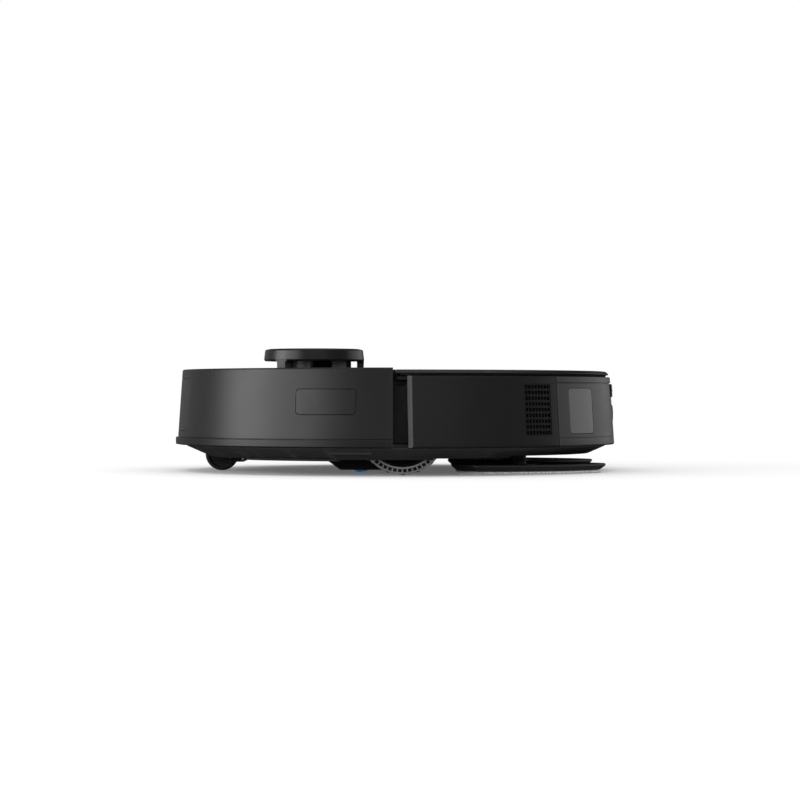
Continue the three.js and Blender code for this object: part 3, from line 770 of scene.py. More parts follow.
def radial_profile(name, profile, steps=48):
    """A (radius, distance from the robot's axis) profile turned about the inlet's axis."""
    piece = turned(name, profile, 0, 360, steps)
    low, high = box_mm("water_inlet")
    spin = Matrix.Rotation(math.radians(-90), 4, "X")
    turn = Matrix.Translation((0, 0, (low.z + high.z) / 2 * MM)) @ spin
    piece.data.transform(turn)
    return piece


def make_rear_panel():
    grooves = (groove(REAR_GROOVE_Z, 0.35, 0.4), groove(PANEL_GROOVE_Z, 0.8, 0.9))
    panel = wall_sector("rear_wall", rear_profile(*grooves), REAR_SEAM + SEAM_GAP,
                        180 - REAR_SEAM - SEAM_GAP)
    for inset in (REAR_PLATE, CONTACT):
        cut(panel, through_wall(inset))
        cut(panel, through_wall(facing_right(inset)))
    cut(panel, radial_profile("tool", band(0, 8.35, 150, 190)))
    smooth(panel)
    place(panel, "body", rear_plastic, "charcoal_plastic", "rear_panel")

    plate = wall_plug("rear_side_plate", REAR_PLATE, 2.0, -0.1, 0.3, 0.2)
    place_both(plate, BODY, plate_plastic, "side_plate", "rear_window")

    inlet = radial_profile("rear_filler", rounded([
        (5.0, 166.5, 0.3), (8.0, 166.5, 0.3), (8.0, 173.0, 0.6), (6.2, 173.0, 0.5),
        (5.4, 171.6, 0.4), (5.0, 170.0, 0.3),
    ]))
    grate = radial_profile("rear_filler_floor", band(0, 5.0, 166.6, 168))
    merge(inlet, grate)
    smooth(inlet)
    place(inlet, "body", rubber, "black_plastic", "water_inlet")


def make_contacts():
    """Charging contacts: a dark moulded pad whose upper part carries the metal strip."""
    pad = wall_plug("contact_pad", CONTACT, 2.0, 1.25, 0.35, 0.5)
    metal_inset = {**CONTACT, "width": 7.6, "z0": 62.6, "z1": 68.2, "corner": 0.8}
    strip = wall_plug("contact_strip", metal_inset, 1.0, 1.5, 0.0, 0.3)
    place_both(strip, BODY, plated, "contact_metal")
    place_both(pad, BODY, black_plastic, "black_plastic", "charge_contact")


# ---------- top ----------

BUTTONS = ("start_button", "home_button")


def make_cover():
    low, high = cover_low.z, cover_high.z
    radius = cover_high.y
    lid = lathe("top_lid", [
        (0.0, low, 0.0), (radius - 0.6, low, 0.3), (radius, low + 0.6, 0.3),
        (radius - 2.2, high - 0.3, 0.8), (radius - 5.0, high, 2.0), (0.0, high, 0.0),
    ], steps=360)
    keep(lid, behind(LID_START_Y))
    soften(lid, 0.25)
    place(lid, "top_cover", charcoal_top, "charcoal_plastic", "top_cover")

    ribs = []
    for k in range(-5, 6):
        reach = math.sqrt(149.0 ** 2 - (k * 26.0) ** 2)
        ribs.append(((k * 26.0 - 0.6, 6.0, low - 1.2), (k * 26.0 + 0.6, reach, low + 0.2)))
    ribs.append(((-140.0, 6.0, low - 1.2), (140.0, 7.2, low + 0.2)))
    seal = wall_sector("lid_seal", [
        (161.5, low - 1.3, 0.3), (166.9, low - 1.3, 0.4), (167.6, low + 0.2, 0.0),
        (161.0, low + 0.2, 0.0),
    ], 1.2, 178.8)
    smooth(seal)
    place(seal, "top_cover", rubber, "soft_rubber")
    ribbing = boxes("lid_ribs", ribs)
    soften(ribbing, 0.2, angle=30.0)
    place(ribbing, "top_cover", inner_plastic, "inner_plastic")


def make_deck():
    plate, radius, high = 2.5, -deck_low.y, deck_high.z
    deck = lathe("deck", [
        (0.0, high - plate, 0.0), (radius - WALL, high - plate, 0.0), (radius - WALL, 24.0, 0.0),
        (radius, 24.0, 0.3), (radius, high, 0.8), (0.0, high, 0.0),
    ], 180, 360, 180)
    cut(deck, behind(deck_high.y))
    drill(deck, 37.6, 60, 90, centre=TURRET_CENTRE)
    for node in BUTTONS:
        drill(deck, 7.9, 60, 90, steps=64, centre=plan_centre(*box_mm(node)))
    top = high - plate - 0.5
    notch = [((155, -7, 20), (FAR, 10, top)), ((-FAR, -7, 20), (-155, 10, top))]
    cut(deck, boxes("tool", notch))
    soften(deck, 0.25)
    place(deck, "body", charcoal_top, "charcoal_plastic", "front_deck")


def make_buttons():
    for node in BUTTONS:
        low, top = box_mm(node)
        centre = plan_centre(low, top)
        button = lathe(f"{node}_key", [
            (0.0, 73.4, 0.0), (9.0, 73.4, 0.2), (9.0, 75.0, 0.2), (7.5, 75.0, 0.0),
            (7.5, top.z, 0.7), (6.0, top.z - 0.05, 0.0), (3.0, top.z - 0.25, 0.0),
            (0.0, top.z - 0.3, 0.0),
        ], steps=72, centre=centre)
        smooth(button)
        place(button, node, gloss_window, "gloss_window", node)
        sunk, proud = top.z - 0.5, top.z - 0.14
        if node == "start_button":
            mark = turned("mark", band(3.0, 3.5, sunk, proud), 125, 415, 48, centre)
            bar = boxes("bar", [((-0.25, 1.6, sunk), (0.25, 4.2, proud))],
                        Matrix.Translation((*centre, 0)))
            merge(mark, bar)
        else:
            cx, cy = centre
            roof = [
                (cx - 3.6, cy - 0.1), (cx, cy + 3.2), (cx + 3.6, cy - 0.1),
                (cx + 3.0, cy - 0.1), (cx, cy + 2.6), (cx - 3.0, cy - 0.1),
            ]
            mark = prism("mark", roof, sunk, proud)
            walls = [((cx - 2.4, cy - 2.8, sunk), (cx - 1.9, cy + 0.2, proud)),
                     ((cx + 1.9, cy - 2.8, sunk), (cx + 2.4, cy + 0.2, proud)),
                     ((cx - 2.4, cy - 2.8, sunk), (cx + 2.4, cy - 2.3, proud))]
            merge(mark, boxes("walls", walls))
        smooth(mark)
        mark.name = f"{node}_mark"
        place(mark, node, inner_plastic, "inner_plastic")


make_bumper()
make_rear_shells()
make_vent_grilles()
make_rear_panel()
make_contacts()
make_cover()
make_deck()
make_buttons()

# ---------- laser turret ----------

CAP_BOTTOM_Z = 87.0
WINDOW_LOW_Z, WINDOW_HIGH_Z = 80.0, 88.0
LEG_HALF = 4.2
LEG_FLARE = 1.8


def turret_leg(angle, inner, outer):
    """A curved leg whose sides flare out into the underside of the cap."""
    low, high = cap_low.z, CAP_BOTTOM_Z + 2.0
    start = CAP_BOTTOM_Z - LEG_FLARE
    outline = [
        (-LEG_HALF, low), (LEG_HALF, low),
        *arc(LEG_HALF + LEG_FLARE, start, LEG_FLARE, 180, 90, 8),
        (LEG_HALF + LEG_FLARE, high), (-LEG_HALF - LEG_FLARE, high),
        *arc(-LEG_HALF - LEG_FLARE, start, LEG_FLARE, 90, 0, 8),
    ]
    profile = [
        (inner, low), (outer - 0.3, low), (outer, CAP_BOTTOM_Z + 1.1), (outer, high),
        (inner, high),
    ]
    leg = turned("leg", profile, angle - 16, angle + 16, 40, TURRET_CENTRE)
    turn = outward(angle, TURRET_CENTRE)
    return keep(leg, prism("tool", outline, inner - 8, outer + 8, turn))


def make_turret_cap():
    low, high = CAP_BOTTOM_Z, cap_high.z
    radius = cap_high.x
    dome = turned("turret_lid", rounded([
        (0.0, low, 0.0), (radius - 0.9, low, 0.5), (radius, low + 1.1, 0.7),
        (radius - 0.75, high - 2.4, 0.0), (radius - 0.85, high - 1.1, 1.4),
        (radius - 4.6, high - 0.35, 3.0), (14.0, high, 0.0), (0.0, high, 0.0),
    ], 7), steps=256, centre=TURRET_CENTRE)
    drill(dome, 25, 80, 90, steps=128, centre=ROTOR_CENTRE)
    for angle, inner in ((-39.3, 32.0), (-140.7, 32.0), (90.0, 34.6)):
        fuse(dome, turret_leg(angle, inner, radius - 0.05))
    smooth(dome)
    place(dome, "turret_cap", charcoal_top, "charcoal_plastic", "turret_cap")


def make_turret_rotor():
    """The spinning sensor head: a drum with a dark window between two lighter cheeks, whose light
    grey is painted light that makes up for the shade under the cap.
    """
    low, high = rotor_low, rotor_high
    centre = ROTOR_CENTRE
    face = (high.y - low.y) / 2 - 0.5
    base, head = WINDOW_LOW_Z, WINDOW_HIGH_Z
    drum = lathe("sensor_drum", [
        (0.0, 70.0, 0.0), (8.5, 70.0, 0.3), (8.5, 79.7, 0.0), (face, 79.7, 0.5),
        (face, high.z, 1.0), (0.0, high.z, 0.0),
    ], steps=160, centre=centre)
    cut(drum, turned("tool", band(19.4, 30, base - 0.1, head), -21.5, 21.5, 40, centre))
    smooth(drum)
    place(drum, "turret_rotor", lug_rubber, "black_plastic", "turret_rotor")

    for k, (start, end) in enumerate(((-57.0, -21.5), (21.5, 57.0))):
        cheek = lathe(f"sensor_cheek_{k}", [
            (face - 0.6, base, 0.0), (face + 0.1, base, 0.3), (face + 0.1, head, 0.3),
            (face - 0.6, head, 0.0),
        ], start, end, 24, centre)
        soften(cheek, 0.15)
        place(cheek, "turret_rotor", cheek_painted_light_plastic, "black_plastic")

    window = lathe("sensor_window", [
        (19.6, base, 0.0), (face - 0.1, base, 0.2), (face - 0.1, head - 0.1, 0.2),
        (19.6, head - 0.1, 0.0),
    ], -21.3, 21.3, 40, centre=centre)
    smooth(window)
    place(window, "turret_rotor", turret_glass, "gloss_window")
    for k, (y, size) in enumerate(((-4.2, 1.9), (4.4, 1.6))):
        lens = lathe(f"sensor_lens_{k}", [
            (0.0, 22.4, 0.0), (size, 22.4, 0.0), (size, 23.45, 0.25), (size * 0.75, 23.5, 0.1),
            (size * 0.7, 23.15, 0.0), (0.0, 23.3, 0.0),
        ], steps=40, centre=(centre[1] + y, 84.1), axis="X")
        smooth(lens)
        place(lens, "turret_rotor", turret_glass, "gloss_window")


def make_turret_base():
    high = box_mm("turret_base")[1]
    base = lathe("turret_ring", [
        (0.0, 68.0, 0.0), (30.0, 68.0, 0.0), (30.0, 74.9, 0.0), (37.2, 74.9, 0.0),
        (37.2, high.z, 0.7), (34.6, high.z, 0.4), (33.9, high.z - 0.7, 0.2),
        (32.0, high.z - 0.7, 0.2), (31.4, high.z, 0.3), (0.0, high.z, 0.0),
    ], steps=192, centre=TURRET_CENTRE)
    drill(base, 9.5, 60, 90, steps=64, centre=ROTOR_CENTRE)
    smooth(base)
    place(base, "body", black_plastic, "black_plastic", "turret_base")


make_turret_cap()
make_turret_rotor()
make_turret_base()


# ---------- drive wheels ----------

TYRE_CENTRE = ((tyre_low.y + tyre_high.y) / 2, (tyre_low.z + tyre_high.z) / 2)
TYRE_RADIUS = (tyre_high.z - tyre_low.z) / 2
LUGS = 18
POCKETS = 52


def around_wheel(angle):
    """Matrix that turns (along the axle, across, out) drawings about the axle."""
    y, z = TYRE_CENTRE
    return Matrix.Translation((0, y, z)) @ Matrix.Rotation(math.radians(angle), 4, "X")


def make_tyre():
    """Tyre carcass with a band of square pockets near the outer face and chevron lugs."""
    inner_x, outer_x = tyre_low.x, tyre_high.x
    tread = TYRE_RADIUS - 0.35
    carcass = lathe("tyre_carcass", [
        (28.4, inner_x, 0.3), (tread - 0.2, inner_x, 1.0), (tread, inner_x + 3.0, 2.0),
        (tread, outer_x - 1.0, 0.8), (tread - 0.3, outer_x, 0.3), (28.4, outer_x, 0.4),
    ], steps=216, centre=TYRE_CENTRE, axis="X")
    pockets = []
    for k in range(POCKETS):
        at = around_wheel(360.0 * (k + 0.5) / POCKETS)
        pocket = ((outer_x - 1.5, -1.35, 29.9), (outer_x + 2, 1.35, 32.4))
        pockets.append(boxes("pocket", [pocket], at))
    cut(carcass, merge(*pockets))
    smooth(carcass)
    place_both(carcass, WHEELS, tyre_rubber, "tyre_rubber", "tyre")
    floor = turned("tyre_band", band(29.6, 32.6, outer_x - 3.4, outer_x - 1.1), steps=144,
                   centre=TYRE_CENTRE, axis="X")
    smooth(floor)
    place_both(floor, WHEELS, lug_rubber, "tyre_rubber")

    lugs = []
    middle = (inner_x + outer_x) / 2
    for k in range(LUGS):
        at = around_wheel(360.0 * k / LUGS)
        half = 1.3
        low, high = tread - 0.6, TYRE_RADIUS
        for sign in (-1, 1):
            near, far = middle + sign * 0.6, middle + sign * 12.9
            lug = [(near, -half + 1.0), (far, -half - 0.6), (far, half - 0.6), (near, half + 1.0)]
            if sign < 0:
                lug.reverse()
            lugs.append(prism("lug", lug, low, high, at))
    tread_lugs = merge(*lugs)
    tread_lugs.name = "tyre_lugs"
    soften(tread_lugs, 0.2, angle=40.0)
    place_both(tread_lugs, WHEELS, lug_rubber, "tyre_rubber")


def make_wheel_hub():
    low, high = box_mm("wheel_hub_left")
    rim = lathe("wheel_rim", [
        (25.4, low.x, 0.0), (28.0, low.x, 0.4), (28.0, high.x - 0.6, 0.6),
        (26.4, high.x - 0.2, 0.5), (25.4, high.x - 1.4, 0.4),
    ], steps=160, centre=TYRE_CENTRE, axis="X")
    dish = lathe("wheel_dish", [
        (4.4, low.x, 0.0), (26.0, low.x, 0.0), (26.0, high.x - 4.2, 0.0),
        (21.0, high.x - 4.6, 0.8), (10.0, high.x - 1.6, 1.5), (9.2, high.x - 0.2, 0.6),
        (4.4, high.x - 0.2, 0.4),
    ], steps=160, centre=TYRE_CENTRE, axis="X")
    spokes = []
    for k in range(6):
        at = around_wheel(60.0 * k)
        spokes.append(boxes("spoke", [((high.x - 6.0, -1.5, 8.0), (high.x - 1.7, 1.5, 25.9))], at))
    spoke_set = merge(*spokes)
    spoke_set.name = "wheel_spokes"
    smooth(rim)
    smooth(dish)
    soften(spoke_set, 0.35)
    for part, nodes in ((rim, ()), (dish, ("wheel_hub",)), (spoke_set, ())):
        place_both(part, WHEELS, black_plastic, "black_plastic", *nodes)
    axle_cap = lathe("axle_cap", [
        (0.0, high.x - 4.0, 0.0), (3.6, high.x - 4.0, 0.0), (3.6, high.x - 1.6, 0.5),
        (0.0, high.x - 1.3, 0.0),
    ], steps=48, centre=TYRE_CENTRE, axis="X")
    smooth(axle_cap)
    place_both(axle_cap, WHEELS, steel, "steel")


# ---------- front caster ----------

CASTER_AXLE = ((caster_low.y + caster_high.y) / 2, (caster_low.z + caster_high.z) / 2)


def make_caster():
    fork_high = box_mm("caster_fork")[1]
    puck = lathe("caster_turntable", [
        (0.0, 17.0, 0.0), (18.9, 17.0, 0.0), (19.5, 17.6, 0.5), (19.5, 30.4, 0.5),
        (5.0, 30.4, 0.3), (5.0, fork_high.z, 0.5), (0.0, fork_high.z, 0.0),
    ], steps=120, centre=CASTER_SWIVEL)
    cheek = [(-147.4, 17.6), (-147.2, 12.2), *arc(-143.4, 11.8, 3.6, 190, 262, 6),
             (-127.6, 6.9), *arc(-125.6, 9.0, 2.0, 262, 350, 5), (-119.6, 17.6)]
    cheeks = prism("cheeks", cheek, -10.4, 10.4, ALONG_X)
    fuse(puck, cheeks)
    cut(puck, boxes("tool", [((-7.2, -160.0, 0.0), (7.2, -124.6, 27.2))]))
    drill(puck, 1.8, -20, 20, steps=40, centre=CASTER_AXLE, axis="X")
    soften(puck, 0.35)
    place(puck, "caster_fork", black_plastic, "black_plastic", "caster_fork")

    pin = lathe("caster_pin", [
        (0.0, -10.0, 0.0), (1.5, -10.0, 0.4), (1.5, 10.0, 0.4), (0.0, 10.0, 0.0),
    ], steps=40, centre=CASTER_AXLE, axis="X")
    smooth(pin)
    place(pin, "caster_fork", steel, "steel", "caster_axle")

    radius = (caster_high.z - caster_low.z) / 2
    half = caster_high.x
    roller = lathe("caster_roller", [
        (1.9, -half, 0.3), (4.4, -half, 0.3), (5.0, -half + 1.4, 0.3), (9.6, -half + 1.4, 0.4),
        (10.4, -half, 0.4), (radius - 0.9, -half + 0.2, 0.8), (radius, -half + 2.4, 1.6),
        (radius, half - 2.4, 1.6), (radius - 0.9, half - 0.2, 0.8), (10.4, half, 0.4),
        (9.6, half - 1.4, 0.4), (5.0, half - 1.4, 0.3), (4.4, half, 0.3), (1.9, half, 0.3),
    ], steps=128, centre=CASTER_AXLE, axis="X")
    smooth(roller)
    place(roller, "caster_wheel", rubber, "soft_rubber", "caster_wheel")


make_tyre()
make_wheel_hub()
make_caster()


# ---------- underside ----------

BELLY_Z = pan_low.z
MOP_BAY_Z = 14.1
MOP_BAY_START_Y = 26.5
MOP_LIP_Z = 12.6
WHEEL_WELL = (91.0, 131.5, -37.0, 42.0)
ROLLER_SLOT = (-84.5, 84.5, -50.5, -7.5)
MOP_CENTRE = ((mop_low.x + mop_high.x) / 2, 94.4)
DOOR_SCREWS = ((-52, -104), (52, -104), (-52, -75), (52, -75))
PAN_SCREWS = ((-72, -126), (72, -126), (-139, -20), (139, -20), (-84, 12), (84, 12))
BAY_SCREWS = ((0, 44), (0, 138), (-136, 66), (136, 66))
SCREW_PROUD = 0.35


def cross_slot(head, x, y, low, high, reach):
    """Cuts the cross of a screwdriver into a screw's head."""
    for half_x, half_y in ((reach, 0.3), (0.3, reach)):
        cut(head, boxes("tool", [((x - half_x, y - half_y, low), (x + half_x, y + half_y, high))]))


def screw(name, x, y, z):
    """A countersunk cross-head screw seen from below."""
    head = lathe(name, [
        (0.0, z + 0.9, 0.0), (0.0, z + 0.2, 0.0), (2.2, z, 0.25), (2.5, z + 0.4, 0.2),
        (2.5, z + 0.9, 0.0),
    ], steps=24, centre=(x, y))
    cross_slot(head, x, y, z - 1, z + 0.6, 1.4)
    smooth(head)
    place(head, "body", steel, "steel")


def make_belly():
    pan = lathe("belly_pan", [
        (0.0, BELLY_Z, 0.0), (147.5, BELLY_Z, 3.0), (166.5, 19.9, 0.6), (166.5, 20.7, 0.3),
        (163.0, 20.7, 0.0), (163.0, 23.6, 0.4), (160.5, 23.6, 0.4), (155.0, 17.0, 1.5),
        (0.0, 17.0, 0.0),
    ], steps=300)
    fuse(pan, turned("cup", band(0, 24, 16, 33.5), steps=96, centre=CASTER_SWIVEL))
    cut(pan, boxes("tool", [((-FAR, MOP_BAY_START_Y, 0.0), (FAR, FAR, MOP_BAY_Z))]))
    drill(pan, 21.6, 0, 31.3, steps=96, centre=CASTER_SWIVEL)
    drill(pan, 5.6, 30, 40, steps=48, centre=CASTER_SWIVEL)
    drill(pan, 9, 0, 40, steps=64, centre=plan_centre(*box_mm("side_brush_motor")))
    x0, x1, y0, y1 = ROLLER_SLOT
    cut(pan, slab("tool", x0, x1, y0, y1, 1.5, 0, 40))
    x0, x1, y0, y1 = WHEEL_WELL
    for side in (1, -1):
        cut(pan, slab("tool", *sorted((side * x0, side * x1)), y0, y1, 7.0, 0, 40))
        bore_at = (side * MOP_CENTRE[0], MOP_CENTRE[1])
        drill(pan, 7.4, 0, 40, steps=64, centre=bore_at)
        ring = band(8.6, 10.0, 0.0, MOP_BAY_Z + 0.6)
        cut(pan, turned("tool", ring, steps=64, centre=bore_at))
        cut(pan, boxes("tool", [((-8.0, -148.0, 0.0), (8.0, -138.0, 14.5))], spun(side * 32.0)))
    for low_angle, high_angle in ((9.6, 34.5), (145.5, 170.4)):
        lip = lathe("lip", [
            (140.0, MOP_LIP_Z, 0.6), (150.2, MOP_LIP_Z, 1.0), (153.6, MOP_BAY_Z + 0.2, 0.0),
            (140.0, MOP_BAY_Z + 0.2, 0.0),
        ], low_angle, high_angle, 25)
        fuse(pan, lip)
    for low_angle, high_angle in ((-49.0, -17.0), (-163.0, -142.0)):
        rib = lathe("rib", [
            (141.5, 10.4, 0.6), (148.4, 10.4, 1.6), (151.0, 12.2, 0.0), (141.5, 12.2, 0.0),
        ], low_angle, high_angle, 32)
        fuse(pan, rib)
    smooth(pan)
    place(pan, "body", belly_painted_fill_plastic, "charcoal_plastic", "base_chassis")

    door = slab("battery_door", -62, 62, -112, -66, 5, 10.7, 11.6)
    soften(door, 0.35)
    place(door, "body", belly_painted_fill_plastic, "charcoal_plastic")
    latch = slab("battery_door_latch", -11, 11, -70.5, -67.6, 1.2, 10.1, 11.0)
    soften(latch, 0.3)
    place(latch, "body", black_plastic, "black_plastic")
    for name, z, spots in (
        ("door_screw", 10.3, DOOR_SCREWS),
        ("pan_screw", BELLY_Z - SCREW_PROUD, PAN_SCREWS),
        ("bay_screw", MOP_BAY_Z - SCREW_PROUD, BAY_SCREWS),
    ):
        for k, (x, y) in enumerate(spots):
            screw(f"{name}_{k}", x, y, z)


def make_side_bars():
    """A short rounded sensor bar under each side wall, ahead of the drive wheel."""
    bar = lathe("side_sensor_bar", [
        (152.0, 16.0, 0.0), (153.5, 14.4, 0.9), (160.4, 15.6, 1.5), (161.4, 19.4, 1.0),
        (158.4, 19.8, 0.0),
    ], -17.5, -6.2, 24)
    soften(bar, 0.6, 3)
    place_both(bar, BODY, belly_painted_fill_plastic, "charcoal_plastic")


# ---------- bristles ----------


def strands(name, lines, root, tuft_top_and_shade):
    """Thin four-sided strands along (start, end) lines, tapering from root to tip radius."""
    bm = bmesh.new()
    for start, end in lines:
        start, end = Vector(start), Vector(end)
        along = (end - start).normalized()
        side = along.orthogonal().normalized()
        other = along.cross(side)
        ring = (side, other, -side, -other)
        low = [bm.verts.new(start + out * root) for out in ring]
        high = [bm.verts.new(end + out * tuft_top_and_shade) for out in ring]
        for k in range(4):
            bm.faces.new((low[k], low[(k + 1) % 4], high[(k + 1) % 4], high[k]))
        bm.faces.new(list(reversed(low)))
        bm.faces.new(high)
    piece = new_object(name, bm)
    piece.data.shade_smooth()
    return piece


# ---------- main roller ----------

ROLLER_CENTRE = (-29.0, 21.8)
ROLLER_HALF = roller_high.x
ROLLER_TWIST = 26.0
FIN_SECTION = ((9.0, -8.0), (15.0, -3.6), (18.6, -2.0), (19.1, 0.0), (18.6, 2.0), (15.0, 3.6),
               (9.0, 8.0))  # (radius, degrees of lean)


def roller_point(x, angle, radius):
    turn = math.radians(angle)
    y, z = ROLLER_CENTRE
    return (x, y + radius * math.cos(turn), z + radius * math.sin(turn))


def roller_angle(base, x):
    """Rows run in a shallow V that leads in the middle of the roller."""
    return base + ROLLER_TWIST * (abs(x) / ROLLER_HALF - 1.0)


def make_roller_fin(index, base):
    bm = bmesh.new()
    rings = []
    steps = 40
    reach = ROLLER_HALF - 3.5
    for i in range(steps + 1):
        x = -reach + 2 * reach * i / steps
        angle = roller_angle(base, x)
        rings.append([
            bm.verts.new(roller_point(x, angle + lean, radius)) for radius, lean in FIN_SECTION
        ])
    join_rings(bm, rings, False)
    fin = new_object(f"roller_fin_{index}", bm)
    smooth(fin)
    place(fin, "roller_brush", rubber_blue, "blue_bristle")


def make_roller():
    centre = ROLLER_CENTRE
    half = ROLLER_HALF
    core = lathe("roller_core", [
        (0.0, -half, 0.0), (5.0, -half, 0.4), (5.6, -half + 1.4, 0.2), (12.5, -half + 1.6, 0.5),
        (12.5, -half + 3.2, 0.5), (9.4, -half + 3.6, 0.3), (9.4, half - 3.6, 0.3),
        (12.5, half - 3.2, 0.5), (12.5, half - 1.6, 0.5), (5.6, half - 1.4, 0.2), (5.0, half, 0.4),
        (0.0, half, 0.0),
    ], steps=96, centre=centre, axis="X")
    smooth(core)
    place(core, "roller_brush", black_plastic, "blue_bristle", "roller_brush")
    for index in range(3):
        make_roller_fin(index, -30.0 + 120.0 * index)
        base = -90.0 + ROLLER_TWIST * 0.5 + 120.0 * index
        lines = []
        tufts = 62
        for i in range(tufts):
            x = (-half + 4.5) + (2 * half - 9.0) * i / (tufts - 1)
            for _ in range(14):
                lean = random.uniform(-1.0, 1.0)
                start_x = x + random.uniform(-0.7, 0.7)
                angle = roller_angle(base, x)
                start = roller_point(start_x, angle + 4.0 * lean, 9.0)
                end = roller_point(start_x + random.uniform(-1.3, 1.3),
                                   angle + 11.0 * lean + random.uniform(-2, 2),
                                   random.uniform(20.4, 21.5))
                lines.append((start, end))
        row = strands(f"roller_bristles_{index}", lines, 0.30, 0.20)
        place(row, "roller_brush", blue_bristle, "blue_bristle")


def make_roller_guard():
    box = box_mm("roller_brush_guard")
    skirt = [(-54.0, 11.1), (-43.2, 3.3), (-42.2, 2.7), (-10.8, 2.7), (-9.8, 3.3), (-6.4, 11.1)]
    guard = prism("roller_guard", skirt, box[0].x, box[1].x, ALONG_X)
    flange = slab_over("flange", box, 0.0, 3.0, 9.6, 11.1)
    fuse(guard, flange)
    drill(guard, 22.0, -84, 84, steps=96, centre=ROLLER_CENTRE, axis="X")
    for x in (-87.2, 87.2):
        cut(guard, boxes("tool", [((x - 1.2, -34.0, 0.0), (x + 1.2, -20.0, 4.2))]))
    soften(guard, 0.45, angle=40.0)
    place(guard, "body", black_plastic, "black_plastic", "roller_brush_guard")


# ---------- side brush ----------


def make_side_brush():
    centre = plan_centre(*box_mm("side_brush_motor"))
    hub = lathe("side_brush_hub", [
        (0.0, 5.6, 0.0), (2.2, 5.6, 0.0), (2.6, 6.4, 0.2), (5.2, 6.4, 0.6), (7.0, 8.2, 0.8),
        (7.0, 12.0, 0.5), (6.0, 12.8, 0.4), (6.0, 22.0, 0.4), (0.0, 22.0, 0.0),
    ], steps=72, centre=centre)
    smooth(hub)
    place(hub, "side_brush", black_plastic, "blue_bristle", "side_brush")
    for index, angle in enumerate((90.0, 210.0, 330.0)):
        turn = spun(angle, centre)
        arm_outline = [
            (3.0, 7.0), (25.0, 9.3), (26.0, 9.7), (26.0, 10.7), (25.0, 11.2), (3.0, 11.2),
        ]
        arm = prism(f"side_brush_arm_{index}", arm_outline, -1.9, 1.9, turn @ ALONG_Y)
        soften(arm, 0.6, 3)
        place(arm, "side_brush", rubber, "soft_rubber")
        lines = []
        for _ in range(44):
            spread = random.uniform(-1.0, 1.0)
            depth = random.uniform(-0.8, 0.8)
            start = turn @ Vector((24.0, spread * 1.1, 10.2 + depth * 0.4))
            end = turn @ Vector((random.uniform(49.0, 52.0), spread * 3.4, 5.2 + depth * 0.5))
            lines.append((start, end))
        tuft = strands(f"side_brush_bristles_{index}", lines, 0.14, 0.09)
        place(tuft, "side_brush", dark_bristle, "blue_bristle")


# ---------- mops ----------

MOP_WIDTH = 117.5
MOP_CORNER = 8.0
MOP_STEPS = 240


def mop_outline(steps=MOP_STEPS):
    """A rounded triangle of constant width about its middle, one corner to the rear."""
    side = MOP_WIDTH - 2 * MOP_CORNER
    reach = side / math.sqrt(3)
    points = []
    for i in range(steps):
        normal = 360.0 * i / steps
        sector = round((normal - 90.0) / 60.0)
        corner = math.radians(90.0 + 60.0 * sector + (0.0 if sector % 2 == 0 else 180.0))
        radius = MOP_CORNER if sector % 2 == 0 else side + MOP_CORNER
        turn = math.radians(normal)
        points.append((reach * math.cos(corner) + radius * math.cos(turn),
                       reach * math.sin(corner) + radius * math.sin(turn)))
    return points


def swept(name, loop, wave=0.0):
    """A closed loop of (share of the outline, height) carried round the mop's outline."""
    outline = mop_outline()
    bm = bmesh.new()
    rings = []
    for i, (x, y) in enumerate(outline):
        ripple = 1.0 + wave * (math.sin(i * 1.7) + math.sin(i * 2.9 + 1.0)) / 2
        rings.append([
            bm.verts.new((MOP_CENTRE[0] + x * t * ripple, MOP_CENTRE[1] + y * t * ripple, z))
            for t, z in loop
        ])
    join_rings(bm, rings, True)
    drop_slivers(bm)
    return new_object(name, bm)


